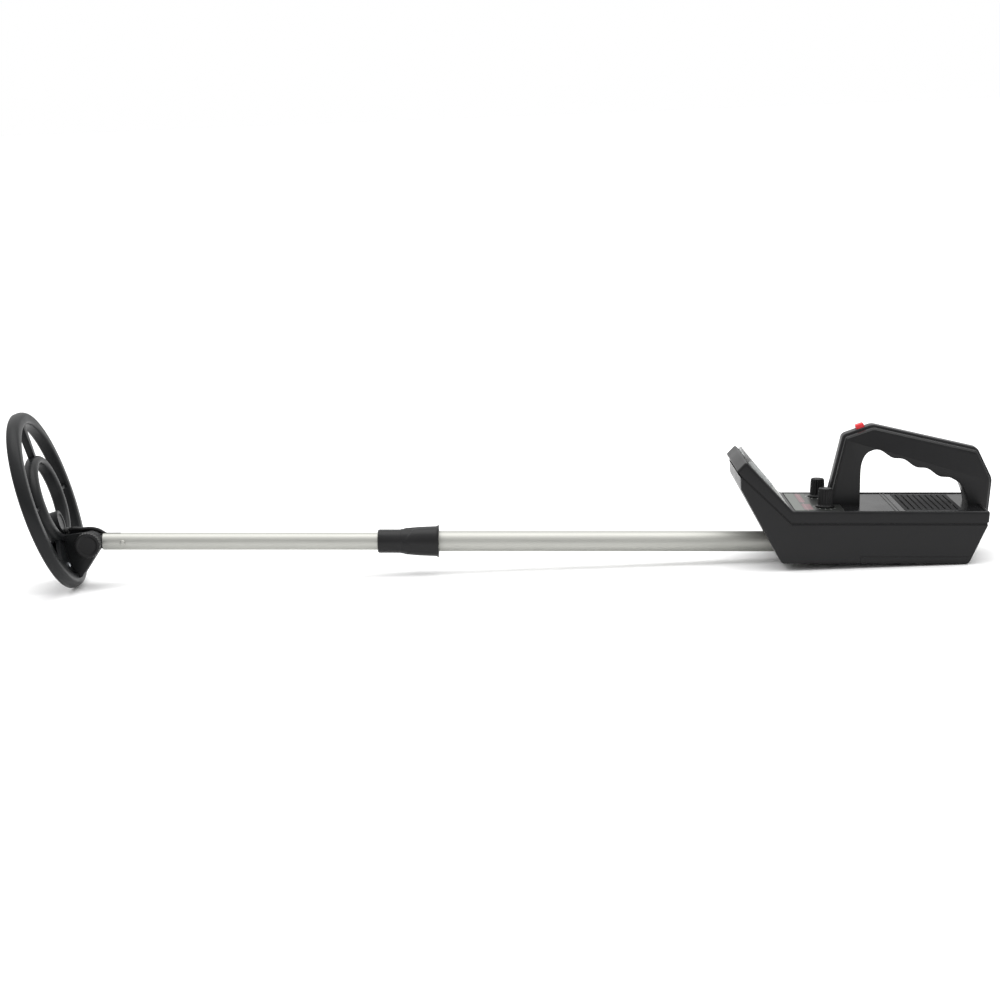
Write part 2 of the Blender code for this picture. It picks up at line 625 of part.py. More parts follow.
def battery_door():
    door = case_form("battery_door", "black_case")
    cut(door, block((-150.0, -70.0, DOOR_Z), (210.0, 70.0, 160.0)))
    cut(door, block((-150.0, -70.0, -5.0), (DOOR_X, 70.0, 20.0)))
    inside = offset(BOX_OUTLINE, -WALL, closed=True)
    inside[0] = (inside[0][0], FLOOR)
    inside[1] = (inside[1][0], FLOOR)
    cut(door, prism(inside, -HALF_WIDTH + WALL, HALF_WIDTH - WALL))
    return door


def tube_strap():
    """The steel strap that holds the upper tube down on two pads of the floor."""
    inner = UPPER_R + GAP
    arc = circle(inner, 13, (0.0, AXIS_Z), math.pi, -math.pi)
    outer = circle(inner + 2.0, 13, (0.0, AXIS_Z), 0.0, math.pi)
    outline = ([(-21.5, 6.3), (-inner, 6.3)] + arc + [(inner, 6.3), (21.5, 6.3), (21.5, 8.3),
               (inner + 2.0, 8.3)] + outer + [(-inner - 2.0, 8.3), (-21.5, 8.3)])
    strap = add("tube_strap", prism(outline, STRAP_X - 6.0, STRAP_X + 6.0, "X"), "steel")
    for number, side in enumerate((-1.0, 1.0), 1):
        spot = (STRAP_X, side * STRAP_SCREW_Y)
        cut(strap, rod(1.5, 5.0, 10.0, "Z", 10, spot))
        profile = [(0.01, 1.4), (1.2, 1.4), (1.2, 8.6), (2.8, 8.6), (2.8, 9.6), (0.01, 10.4)]
        smooth(add("strap_screw_%d" % number, spindle(profile, "Z", 12, spot), "steel"))


def case_screws():
    for number, (x, y, head) in enumerate(((-30.0, -50.0, 0.1), (-30.0, 50.0, 0.1),
                                           (150.0, -51.0, 7.2), (150.0, 51.0, 7.2)), 1):
        top = 1.6 if x > 0.0 else 0.45
        profile = [(0.01, head), (2.9, head), (2.9, head + top - 0.1), (1.2, head + top),
                   (1.2, head + 12.0), (0.01, head + 12.6)]
        smooth(add("case_screw_%d" % number, spindle(profile, "Z", 12, (x, y)), "steel"))


def panel_label():
    label = add("panel_label", block((-29.5, -52.0, PANEL_Z + GAP), (23.0, 52.0, PANEL_Z + 0.7)),
                "label")
    cut(label, block((6.0, -17.2, 50.0), (30.0, 17.2, 60.0)))
    for side in (-1.0, 1.0):
        cut(label, rod(10.4, 50.0, 60.0, "Z", 24, (KNOB_X, side * KNOB_Y)))
    return label


def speaker_grille():
    grille = add("speaker_grille", block((GRILLE_X[0], -GRILLE_Y, 55.3),
                                         (GRILLE_X[1], GRILLE_Y, 56.3)), "black_soft")
    count = 9
    pitch = (GRILLE_X[1] - GRILLE_X[0]) / (count + 0.5)
    for i in range(count):
        x = GRILLE_X[0] + pitch * (i + 0.75)
        low, high = -GRILLE_Y + 4.0, GRILLE_Y - 4.0
        cut(grille, block((x - 1.6, low, 50.0), (x + 1.6, high, 60.0)))
    return grille


def speaker():
    frame = [(SPEAKER_R, 53.4), (SPEAKER_R, 51.6), (26.0, 51.6), (14.0, 40.0), (12.0, 40.0),
             (12.0, 41.2), (24.4, 53.4)]
    smooth(add("speaker_frame", lathe(frame, "Z", 28, (SPEAKER_X, 0.0)), "steel"))
    cone = [(22.2, 53.0), (22.6, 52.6), (9.0, 43.0), (0.01, 43.0), (0.01, 43.8), (8.6, 43.8)]
    smooth(add("speaker_cone", spindle(cone, "Z", 24, (SPEAKER_X, 0.0)), "paper"))
    smooth(add("speaker_magnet", rod(16.0, 33.0, 39.7, "Z", 24, (SPEAKER_X, 0.0)), "foam"))


def circuit_board():
    board = add("circuit_board", block((-22.0, -44.0, 33.0), (82.0, 44.0, 34.6)), "board")
    chips = [((0.0, -20.0), (20.0, 8.0, 4.0)), ((34.0, -20.0), (20.0, 8.0, 4.0)),
             ((12.0, 12.0), (14.0, 14.0, 8.0)), ((50.0, 14.0), (10.0, 10.0, 9.0)),
             ((60.0, -28.0), (8.0, 20.0, 7.0)), ((-12.0, 26.0), (10.0, 14.0, 6.0))]
    for (x, y), (dx, dy, dz) in chips:
        join(board, block((x, y, 34.0), (x + dx, y + dy, 34.6 + dz)))
    return board


def controls():
    """Two potentiometers under the panel, with their nuts, shafts and knobs."""
    for name, side in (("left", -1.0), ("right", 1.0)):
        spot = (KNOB_X, side * KNOB_Y)
        body = [(8.0, 45.0), (8.0, 53.3), (3.6, 53.3), (3.6, 56.5), (3.15, 56.5), (3.15, 46.0),
                (0.01, 46.0), (0.01, 45.0)]
        smooth(add("%s_potentiometer" % name, spindle(body, "Z", 18, spot), "steel"))
        pivot = empty("%s_knob_pivot" % name, (*spot, 57.0))
        smooth(add("%s_knob_shaft" % name, rod(2.85, -10.5, 12.0, "Z", 16), "aluminium", pivot))
        sides = 32
        bm = bmesh.new()
        levels = [(9.7, 0.0, 0.0), (9.7, 1.4, 0.0), (8.2, 1.9, 0.0), (8.15, 2.4, 0.5),
                  (7.5, 18.0, 0.5), (6.6, 20.2, 0.0)]
        rows = []
        for r, z, flute in levels:
            rows.append([bm.verts.new(((r - flute * (i % 2)) * math.cos(2 * math.pi * i / sides),
                                       (r - flute * (i % 2)) * math.sin(2 * math.pi * i / sides), z))
                         for i in range(sides)])
        for a, b in zip(rows, rows[1:]):
            for i in range(sides):
                j = (i + 1) % sides
                bm.faces.new((a[i], a[j], b[j], b[i]))
        bm.faces.new(rows[0][::-1])
        bm.faces.new(rows[-1])
        knob = add("%s_knob" % name, bm, "black_soft", pivot)
        cut(knob, rod(3.2, -2.0, 12.4, "Z", 16), parent=pivot)
        cut(knob, rod(5.6, -2.0, 0.6, "Z", 16), parent=pivot)


# ---------------------------------------------------------------- meter and button

def meter_frame():
    """Middle of the sloping face, and the tilt that lays local Z along its normal."""
    middle = ((SLOPE_TOP[0] + SLOPE_FOOT[0]) / 2, 0.0, (SLOPE_TOP[1] + SLOPE_FOOT[1]) / 2)
    return middle, SLOPE_ANGLE


def meter():
    middle, angle = meter_frame()
    place = {"at": middle, "turn": angle}
    lens_outline = [(-33.0, 0.3), (3.2, 0.3), (3.2, 3.8), (-31.0, 4.6), (-33.0, 3.4)]
    lens = add("meter_lens", prism(lens_outline, -METER_HALF, METER_HALF), "clear", **place)
    cut(lens, block((-31.5, -METER_HALF + 1.5, -2.0), (1.7, METER_HALF - 1.5, 2.4)), **place)
    cover_outline = [(3.5, 0.3), (33.0, 0.3), (33.0, 0.9), (3.5, 3.7)]
    bevel(add("meter_cover", prism(cover_outline, -METER_HALF, METER_HALF), "white", **place),
          0.3, 1, 50.0)
    housing = add("meter_body", block((-25.0, -METER_HALF + 6.0, -11.5),
                                      (21.0, METER_HALF - 6.0, -3.6)), "black_case", **place)
    cut(housing, block((-23.0, -METER_HALF + 8.0, -9.9), (19.0, METER_HALF - 8.0, 0.0)), **place)
    dial = add("dial_face", block((-29.0, -METER_HALF + 7.0, -3.3), (20.0, METER_HALF - 7.0, -2.6)),
               "white", **place)
    cut(dial, rod(2.6, -5.0, 0.0, "Z", 12, (NEEDLE_HUB, 0.0)), **place)
    magnet = [(6.4, -9.6), (6.4, -5.0), (8.6, -5.0), (8.6, -9.6)]
    smooth(add("meter_magnet", lathe(magnet, "Z", 20, (NEEDLE_HUB, 0.0)), "steel", **place))
    hub = Matrix.Rotation(angle, 4, "Y") @ Vector((NEEDLE_HUB, 0.0, 0.0))
    pivot = empty("needle_pivot", Vector(middle) + hub, angle)
    smooth(add("moving_coil", rod(5.8, -9.6, -5.6, "Z", 16), "copper", pivot))
    needle = add("meter_needle", rod(1.9, -5.3, -1.2, "Z", 12), "red", pivot)
    along = Vector((-math.cos(NEEDLE_REST), -math.sin(NEEDLE_REST)))
    across = Vector((-along.y, along.x)) * 0.5
    pointer = [(-along * 4.0 + across)[:], (-along * 4.0 - across)[:],
               (along * NEEDLE_LENGTH - across)[:], (along * NEEDLE_LENGTH + across)[:]]
    join(needle, prism(pointer, -2.1, -1.5, "Z"), parent=pivot)


def push_button():
    place, tilt = button_frame()
    pivot = empty("button_pivot", place, tilt)
    cap = bevel(add("push_button", block((-4.6, -4.4, -5.0), (4.6, 4.4, 4.4)), "red", pivot),
                1.2, 2, 50.0)
    join(cap, block((-6.4, -4.4, -8.6), (6.4, 4.4, -5.8)), parent=pivot)
    join(cap, block((-4.0, -3.9, -6.5), (4.0, 3.9, -2.0)), parent=pivot)
    add("button_switch", block((-6.5, -5.0, -23.4), (6.5, 5.0, -17.0)), "black_case",
        None, place, tilt)
    spring = [(2.0, -16.7), (2.0, -8.9), (3.2, -8.9), (3.2, -16.7)]
    smooth(add("button_spring", lathe(spring, "Z", 14), "steel", None, place, tilt))


# ---------------------------------------------------------------- batteries and wiring

def batteries():
    for name, side in (("left", -1.0), ("right", 1.0)):
        low, high = sorted((side * 16.0, side * 42.5))
        cell = bevel(add("%s_battery" % name, block((50.0, low, 2.4), (96.0, high, 19.9)),
                         "battery"), 1.5, 1, 50.0)
        middle = (low + high) / 2
        join(cell, rod(2.8, 95.0, 98.4, "X", 12, (middle - 6.4, 11.0)))
        join(cell, rod(3.6, 95.0, 98.4, "X", 6, (middle + 6.4, 11.0)))
        snap = add("%s_battery_snap" % name, block((99.0, low + 1.0, 3.6), (102.0, high - 1.0, 18.6)),
                   "black_soft")
        cut(snap, rod(1.2, 98.0, 110.0, "X", 8, (middle, 15.0)))


def coil_lead():
    """Lead from the coil's gland, over the hinge and down into the lower tube."""
    turn = Matrix.Rotation(COIL_ANGLE, 4, "Y")
    centre = Vector((PIVOT_X, 0.0, AXIS_Z))
    gland = centre + turn @ (Vector(COIL_CENTRE) + Vector((38.6, 0.0, 10.2)))
    lift = turn @ Vector((0.0, 0.0, 1.0))
    route = [gland, gland + lift * 5.0, (-799.0, 0.0, 26.6), (-789.0, 0.0, 27.0),
             (-780.5, 0.0, 24.9), (-772.0, 0.0, 19.9), (-762.0, 0.0, 18.1), (-740.0, 0.0, 17.0)]
    hose("coil_lead", through(route, 4.5), 2.1, "black_soft")


def inner_leads():
    straight = through([(-739.6, 0.0, 17.0), (-650.0, 0.0, 13.0), (-500.0, 0.0, 13.0),
                        (-366.0, 0.0, 13.0)], 24.0)
    hose("stem_lead", straight, 2.1, "black_soft")
    spring = [(3.2, -360.0), (3.2, -70.0), (7.6, -70.0), (7.6, -360.0)]
    smooth(add("coiled_lead", lathe(spring, "X", 16), "black_soft", None, (0.0, 0.0, AXIS_Z)))
    tail = through([(-69.4, 0.0, 13.0), (60.0, 0.0, 13.0), (148.0, 0.0, 13.0), (156.5, 0.0, 20.0),
                    (150.0, 0.0, 29.0), (120.0, 0.0, 30.0), (86.0, 0.0, 31.5)], 8.0)
    hose("box_lead", tail, 2.1, "black_soft")


def main():
    for old in list(bpy.data.objects):
        bpy.data.objects.remove(old, do_unlink=True)
    pivot = empty("coil_pivot", (PIVOT_X, 0.0, AXIS_Z), COIL_ANGLE)
    stem = empty("stem_slide", (0.0, 0.0, 0.0))
    coil_shell(pivot)
    coil_cover(pivot)
    coil_windings(pivot)
    coil_fixings(pivot)
    hinge_hardware(pivot, stem)
    lower_stem(stem)
    upper_stem()
    lock_clamp()
    lower_case()
    upper_case()
    handle_spine()
    battery_door()
    tube_strap()
    case_screws()
    panel_label()
    speaker_grille()
    speaker()
    circuit_board()
    controls()
    meter()
    push_button()
    batteries()
    coil_lead()
    inner_leads()


main()
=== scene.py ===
"""Metal detector: fine pieces and finishes built round the part's fixed frame.

Lengths in the tables below are millimetres, in the part's own frame: +X runs from
the search coil to the control box, +Z is up, and -Y is the side with the thumb knob.
"""
import math

import bpy
from bpy.props import FloatProperty, FloatVectorProperty, IntProperty, PointerProperty
from mathutils import Matrix, Vector


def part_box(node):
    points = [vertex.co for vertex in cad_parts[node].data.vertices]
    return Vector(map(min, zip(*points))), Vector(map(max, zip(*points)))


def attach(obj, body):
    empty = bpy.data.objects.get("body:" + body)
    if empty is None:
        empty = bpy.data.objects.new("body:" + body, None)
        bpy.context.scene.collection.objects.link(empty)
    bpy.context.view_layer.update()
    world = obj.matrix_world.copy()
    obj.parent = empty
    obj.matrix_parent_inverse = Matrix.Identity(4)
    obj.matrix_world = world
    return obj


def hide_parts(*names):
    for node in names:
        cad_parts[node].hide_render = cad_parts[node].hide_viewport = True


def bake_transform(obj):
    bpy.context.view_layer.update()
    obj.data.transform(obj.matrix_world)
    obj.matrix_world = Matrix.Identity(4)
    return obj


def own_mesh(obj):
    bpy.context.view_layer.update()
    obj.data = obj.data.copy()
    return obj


bl_info = {
    "name": "Metal detector",
    "version": (1, 0, 0),
    "blender": (4, 5, 0),
    "location": "3D View > Sidebar > Detector",
    "description": "Builds a hand-held metal detector round its CAD frame",
    "category": "Add Mesh",
}

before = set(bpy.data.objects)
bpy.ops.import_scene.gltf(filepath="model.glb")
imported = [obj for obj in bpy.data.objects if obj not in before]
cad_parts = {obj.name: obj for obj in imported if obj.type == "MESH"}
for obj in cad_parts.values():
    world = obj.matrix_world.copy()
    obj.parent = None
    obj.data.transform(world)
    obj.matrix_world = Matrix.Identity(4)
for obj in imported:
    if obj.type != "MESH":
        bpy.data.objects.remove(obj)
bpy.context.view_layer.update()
MM = 0.001

# Stem and hinge
AXIS_Z = 13.0
HINGE = Vector((-789.5, 0.0, AXIS_Z))
LOWER_X, UPPER_X = (-776.5, -373.0), (-446.0, 150.0)
LOWER_R, UPPER_R, TUBE_WALL = 9.5, 11.1, 1.2
PIVOT_R, RIVET_X, RIVET_R = 3.3, -754.0, 1.8
NUT_X = (-477.0, -410.5)

# Coil plane: a rearwards, b across, c up; the centre is measured from the hinge
COIL_ANGLE = math.radians(71.9)
COIL_CENTRE = Vector((-57.8, 0.0, -29.1))
COIL_PLANE = (Matrix.Translation(HINGE) @ Matrix.Rotation(COIL_ANGLE, 4, "Y")
              @ Matrix.Translation(COIL_CENTRE))
RING, LOOP_OUT, LOOP_IN = (99.6, 85.0), (50.0, 58.0), (40.5, 41.0)
ROUND_LOOP = (54.0, 44.0)   # the loop's radii before it is drawn out to its two ovals
COIL_TOP, COIL_SPLIT, COIL_BASE = 6.8, -4.75, -6.8
BOSS_A, BOSS_R = 27.8, 13.5
GLAND_A = 38.6
COIL_SCREW = (71.0, 27.0)
EAR_B, EAR_R = (10.2, 15.0), 12.8

# Control box
HALF_WIDTH, WALL, FLOOR = 60.0, 2.2, 1.6
PANEL_Z, RIM_Z, PARTING_Z = 56.0, 57.0, 43.5
GAP = 0.3
SLOPE_TOP, SLOPE_FOOT = (-83.5, 110.3), (-33.7, 56.0)
BOX_OUTLINE = [(-43.5, 0.0), (156.0, 0.0), (175.8, 43.0), (176.8, 56.0), SLOPE_FOOT,
               SLOPE_TOP, (-93.8, 99.4), (-89.2, 92.5), (-89.0, 80.5)]
DOOR_X, DOOR_Z = 40.4, 7.7
KNOB_X, KNOB_Y = 5.0, 31.0
GRILLE_X, GRILLE_Y = (88.0, 150.0), 48.0
LABEL_X, LABEL_Y = (-29.5, 23.0), 52.0

# Handle
HANDLE_HALF, SPINE_HALF, SPINE_ROUND, SPINE_PROUD = 16.0, 7.0, 4.0, 2.5
SPINE_PATH = [(8.9, 57.0), (25.6, 131.5), (57.5, 142.8), (171.5, 117.3), (188.5, 83.5),
              (185.5, 46.0)]
BUTTON_X = 45.0

# Printing: inks, and the turn that each scale covers
WHITE_INK, RULE_INK, BLACK_INK, ZONE_INK = (0.7, 0.7, 0.68), "#8f7478", "#1d1d1f", "#b5312f"
DASHES = ((14.4, 17.6, "#b9b6b2"), (19.4, 22.6, "#8a4b4e"))
BARS = ((-18.5, -9.0, -46.0, -14.0), (-18.5, -12.5, -2.0, 46.0))
KNOB_SWEEP, DIAL_SWEEP = math.radians(140.0), math.radians(50.0)
MOTTLE = 0.12   # how far a moulding's shade drifts either way

# Meter, on the sloping face: s down the slope, m out of it
SLOPE_ANGLE = math.atan2(SLOPE_TOP[1] - SLOPE_FOOT[1], SLOPE_FOOT[0] - SLOPE_TOP[0])
SLOPE_MIDDLE = Vector(((SLOPE_TOP[0] + SLOPE_FOOT[0]) / 2, 0.0,
                       (SLOPE_TOP[1] + SLOPE_FOOT[1]) / 2))
SLOPE_PLANE = Matrix.Translation(SLOPE_MIDDLE) @ Matrix.Rotation(SLOPE_ANGLE, 4, "Y")
METER_HALF, NEEDLE_HUB = 50.0, 10.0


def spot_on_path(x):
    """Place and tilt of the push button on the handle's front chamfer."""
    (x0, z0), (x1, z1) = SPINE_PATH[1], SPINE_PATH[2]
    z = z0 + (x - x0) / (x1 - x0) * (z1 - z0)
    return Matrix.Translation((x, 0.0, z)) @ Matrix.Rotation(-math.atan2(z1 - z0, x1 - x0), 4, "Y")


BUTTON_PLANE = spot_on_path(BUTTON_X)


# ---------------------------------------------------------------- colours and settings

def linear(text):
    """An sRGB hex colour as linear red, green and blue."""
    parts = [int(text[i:i + 2], 16) / 255.0 for i in (1, 3, 5)]
    return tuple(p / 12.92 if p <= 0.04045 else ((p + 0.055) / 1.055) ** 2.4 for p in parts)


def colour(name, text, note):
    return FloatVectorProperty(name=name, description=note, subtype="COLOR", size=3,
                               min=0.0, max=1.0, default=linear(text))


class DetectorColours(bpy.types.PropertyGroup):
    """Colours of the detector's finishes."""
    case: colour("Case", "#171718", "Moulded ABS of the control box and handle")
    coil: colour("Coil", "#161718", "Moulded ABS of the search coil")
    knob: colour("Knobs", "#131314", "Turned-edge phenolic of the control knobs")
    tube: colour("Stem", "#aeaea9", "Anodised aluminium of the two tubes")
    button: colour("Button", "#d8393f", "Moulded push button")
    label: colour("Label ground", "#5c605b", "Printed ground of the panel label")
    print_red: colour("Label print", "#74565a", "Second printed colour of the label")
    dial: colour("Dial", "#ecebe4", "Printed card behind the needle")


class DetectorSizes(bpy.types.PropertyGroup):
    """Sizes of small features that the CAD frame leaves plain."""
    groove: FloatProperty(name="Groove height", description="Shadow groove round the two halves",
                          default=3.0 * MM, min=0.5 * MM, max=5.0 * MM, unit="LENGTH")
    groove_depth: FloatProperty(name="Groove depth", description="How far the groove is let in",
                                default=1.5 * MM, min=0.3 * MM, max=2.0 * MM, unit="LENGTH")
    knurl: IntProperty(name="Thumb knob flutes", description="Flutes round the thumb knob",
                       default=28, min=8, max=60)
    flutes: IntProperty(name="Knob flutes", description="Flutes round each control knob",
                        default=16, min=8, max=40)
    slots: IntProperty(name="Grille slots", description="Slots across the speaker grille",
                       default=9, min=3, max=15)


def colours():
    return bpy.context.scene.detector_colours


def sizes():
    return bpy.context.scene.detector_sizes


# ---------------------------------------------------------------- node materials

def add_node(tree, kind, sockets=None, **settings):
    """One node, its settings, and its sockets: an output is linked, anything else is set."""
    made = tree.nodes.new(kind)
    for key, value in settings.items():
        setattr(made, key, value)
    for socket, value in (sockets or {}).items():
        if isinstance(value, bpy.types.NodeSocket):
            tree.links.new(value, made.inputs[socket])
        else:
            made.inputs[socket].default_value = value
    return made


def blank(name):
    material = bpy.data.materials.new(name)
    material.use_nodes = True
    tree = material.node_tree
    tree.nodes.clear()
    shader = add_node(tree, "ShaderNodeBsdfPrincipled")
    add_node(tree, "ShaderNodeOutputMaterial", {"Surface": shader.outputs[0]})
    place = add_node(tree, "ShaderNodeTexCoord").outputs["Object"]
    return material, tree, shader, place


def tone(tree, factor, low, high, span=(0.3, 0.7)):
    """A two-colour ramp on a factor."""
    ramp = add_node(tree, "ShaderNodeValToRGB", {"Fac": factor})
    for element, at, shade in zip(ramp.color_ramp.elements, span, (low, high)):
        element.position = at
        element.color = (*shade, 1.0)
    return ramp.outputs["Color"]


def scaled(shade, factor):
    return tuple(min(1.0, max(0.0, part * factor)) for part in shade)


def moulded(name, shade, rough, grain_mm=0.55, bump=0.12, coat=0.0, shine=0.22):
    """Injection-moulded plastic from a spark-eroded tool: an even, fine stipple that
    breaks up the reflection, over a faint large-scale change of gloss."""
    material, tree, shader, place = blank(name)
    stipple = add_node(tree, "ShaderNodeTexNoise",
                       {"Vector": place, "Scale": 1.0 / (grain_mm * MM),
                        "Detail": 2.0, "Roughness": 0.6})
    cloud = add_node(tree, "ShaderNodeTexNoise", {"Vector": place, "Scale": 1.0 / (38.0 * MM),
                                                  "Detail": 3.0})
    tree.links.new(tone(tree, cloud.outputs["Fac"], scaled(shade, 1.0 - MOTTLE),
                        scaled(shade, 1.0 + MOTTLE)), shader.inputs["Base Color"])
    gloss = add_node(tree, "ShaderNodeMapRange", {"Value": cloud.outputs["Fac"], "From Min": 0.3,
                                                  "From Max": 0.7, "To Min": rough - 0.04,
                                                  "To Max": rough + 0.04})
    tree.links.new(gloss.outputs["Result"], shader.inputs["Roughness"])
    raised = add_node(tree, "ShaderNodeBump", {"Height": stipple.outputs["Fac"],
                                               "Strength": bump, "Distance": 0.1 * MM})
    tree.links.new(raised.outputs["Normal"], shader.inputs["Normal"])
    shader.inputs["IOR"].default_value = 1.5
    shader.inputs["Specular IOR Level"].default_value = shine
    shader.inputs["Coat Weight"].default_value = coat
    return material


def metal(name, shade, rough, along_mm=(60.0, 0.5, 0.5), bump=0.04, spread=0.06):
    """Bare or plated metal: fine lines left by drawing, rolling or turning."""
    material, tree, shader, place = blank(name)
    scales = [1.0 / (size * MM) for size in along_mm]
    grain = add_node(tree, "ShaderNodeMapping", {"Vector": place, "Scale": scales})
    lines = add_node(tree, "ShaderNodeTexNoise", {"Vector": grain.outputs["Vector"], "Scale": 1.0,
                                                  "Detail": 4.0})
    tree.links.new(tone(tree, lines.outputs["Fac"], scaled(shade, 0.93), scaled(shade, 1.04)),
                   shader.inputs["Base Color"])
    gloss = add_node(tree, "ShaderNodeMapRange", {"Value": lines.outputs["Fac"], "From Min": 0.3,
                                                  "From Max": 0.7, "To Min": rough - spread,
                                                  "To Max": rough + spread})
    tree.links.new(gloss.outputs["Result"], shader.inputs["Roughness"])
    raised = add_node(tree, "ShaderNodeBump", {"Height": lines.outputs["Fac"], "Strength": bump,
                                               "Distance": 0.05 * MM})
    tree.links.new(raised.outputs["Normal"], shader.inputs["Normal"])
    shader.inputs["Metallic"].default_value = 1.0
    return material


def calc(tree, operation, *values, **settings):
    """One Math node on numbers or outputs."""
    return add_node(tree, "ShaderNodeMath", dict(enumerate(values)), operation=operation,
                    **settings).outputs[0]


def band(tree, value, low, high):
    """1 between two limits, else 0."""
    over = calc(tree, "GREATER_THAN", value, low)
    under = calc(tree, "LESS_THAN", value, high)
    return calc(tree, "MULTIPLY", over, under)


def split(tree, vector):
    parts = add_node(tree, "ShaderNodeSeparateXYZ", {"Vector": vector})
    return parts.outputs["X"], parts.outputs["Y"], parts.outputs["Z"]


def inked(tree, under, factor, shade):
    """A flat ink laid over a colour wherever the factor is 1."""
    return add_node(tree, "ShaderNodeMix", {0: factor, 6: under, 7: (*shade, 1.0)},
                    data_type="RGBA").outputs[2]


def scale_marks(tree, x, y, radii, count, half_sweep, middle, width):
    """Evenly spaced tick marks on an arc: x, y from the arc's centre, in metres."""
    far = calc(tree, "SQRT", calc(tree, "ADD", calc(tree, "MULTIPLY", x, x),
                                  calc(tree, "MULTIPLY", y, y)))
    angle = calc(tree, "SUBTRACT", calc(tree, "ARCTAN2", y, x), middle)
    angle = calc(tree, "WRAP", angle, math.pi, -math.pi)
    step = 2.0 * half_sweep / (count - 1)
    nearest = calc(tree, "MULTIPLY", calc(tree, "ROUND", calc(tree, "DIVIDE", angle, step)), step)
    astray = calc(tree, "SUBTRACT", angle, nearest)
    away = calc(tree, "ABSOLUTE", calc(tree, "MULTIPLY", astray, far))
    tick = calc(tree, "LESS_THAN", away, width / 2)
    inside = calc(tree, "LESS_THAN", calc(tree, "ABSOLUTE", angle), half_sweep + 0.01)
    on = calc(tree, "MULTIPLY", calc(tree, "MULTIPLY", tick, inside), band(tree, far, *radii))
    return on, far, inside


def printed_label(name):
    """Screen-printed polyester label: matt inks, a grey-green ground, red bars, white ticks."""
    material, tree, shader, place = blank(name)
    x, y, _ = split(tree, place)
    shades = colours()
    ground = tuple(shades.label)
    grain = add_node(tree, "ShaderNodeTexNoise", {"Vector": place, "Scale": 1.0 / (0.4 * MM)})
    base = tone(tree, grain.outputs["Fac"], scaled(ground, 0.92), scaled(ground, 1.08))
    dark = scaled(ground, 0.12)

    base = inked(tree, base, calc(tree, "GREATER_THAN", x, -19.5 * MM), scaled(ground, 0.55))
    for low, high, near, far in BARS:
        bar = calc(tree, "MULTIPLY", band(tree, x, low * MM, high * MM),
                   band(tree, y, near * MM, far * MM))
        base = inked(tree, base, bar, tuple(shades.print_red))
    rule = calc(tree, "MULTIPLY", band(tree, x, -16.0 * MM, -15.2 * MM),
                calc(tree, "LESS_THAN", calc(tree, "PINGPONG", y, 5.0 * MM), 3.4 * MM))
    base = inked(tree, base, rule, linear(RULE_INK))
    base = inked(tree, base, calc(tree, "GREATER_THAN", x, -7.4 * MM), dark)
    for side in (-1.0, 1.0):
        dx = calc(tree, "SUBTRACT", x, KNOB_X * MM)
        dy = calc(tree, "SUBTRACT", y, side * KNOB_Y * MM)
        marks, _, _ = scale_marks(tree, dx, dy, (11.6 * MM, 13.6 * MM), 11,
                                  KNOB_SWEEP, math.pi, 0.7 * MM)
        base = inked(tree, base, marks, WHITE_INK)
    # Two dashes ahead of each knob say which way it turns up
    for low, high, ink in DASHES:
        dash = calc(tree, "MULTIPLY", band(tree, x, low * MM, high * MM),
                    calc(tree, "LESS_THAN", calc(tree, "PINGPONG", y, 36.0 * MM), 1.6 * MM))
        base = inked(tree, base, dash, linear(ink))
    tree.links.new(base, shader.inputs["Base Color"])
    shader.inputs["Roughness"].default_value = 0.38
    return material


def printed_dial(name):
    """Dial card: satin white ink with a black arc, its ticks and a coloured end zone."""
    material, tree, shader, place = blank(name)
    flat = add_node(tree, "ShaderNodeMapping", {"Vector": place,
                                                "Location": -(SLOPE_MIDDLE * MM)})
    turned_back = add_node(tree, "ShaderNodeMapping", {"Vector": flat.outputs["Vector"],
                                                       "Rotation": (0.0, -SLOPE_ANGLE, 0.0)})
    s, y, _ = split(tree, turned_back.outputs["Vector"])
    up = calc(tree, "SUBTRACT", s, NEEDLE_HUB * MM)
    shades = colours()
    card = tuple(shades.dial)
    grain = add_node(tree, "ShaderNodeTexNoise", {"Vector": place, "Scale": 1.0 / (0.5 * MM)})
    base = tone(tree, grain.outputs["Fac"], scaled(card, 0.96), card)

    fine, far, inside = scale_marks(tree, up, y, (25.0 * MM, 27.2 * MM), 41,
                                    DIAL_SWEEP, math.pi, 0.32 * MM)
    bold, _, _ = scale_marks(tree, up, y, (25.0 * MM, 29.4 * MM), 11,
                             DIAL_SWEEP, math.pi, 0.6 * MM)
    arc = calc(tree, "MULTIPLY", band(tree, far, 24.4 * MM, 25.0 * MM), inside)
    zone = calc(tree, "MULTIPLY", band(tree, far, 21.6 * MM, 23.6 * MM), inside)
    zone = calc(tree, "MULTIPLY", zone, calc(tree, "GREATER_THAN", y, 8.0 * MM))
    base = inked(tree, base, zone, linear(ZONE_INK))
    for marks in (fine, bold, arc):
        base = inked(tree, base, marks, linear(BLACK_INK))
    tree.links.new(base, shader.inputs["Base Color"])
    shader.inputs["Roughness"].default_value = 0.5
    return material


def clear_acrylic(name):
    """Moulded clear acrylic: smooth, nearly colourless, faintly uneven in gloss."""
    material, tree, shader, place = blank(name)
    haze = add_node(tree, "ShaderNodeTexNoise", {"Vector": place, "Scale": 1.0 / (9.0 * MM)})
    gloss = add_node(tree, "ShaderNodeMapRange", {"Value": haze.outputs["Fac"], "To Min": 0.03,
                                                  "To Max": 0.09})
    tree.links.new(gloss.outputs["Result"], shader.inputs["Roughness"])
    shader.inputs["Base Color"].default_value = (*linear("#f4f7f6"), 1.0)
    shader.inputs["IOR"].default_value = 1.49
    shader.inputs["Transmission Weight"].default_value = 1.0
    return material


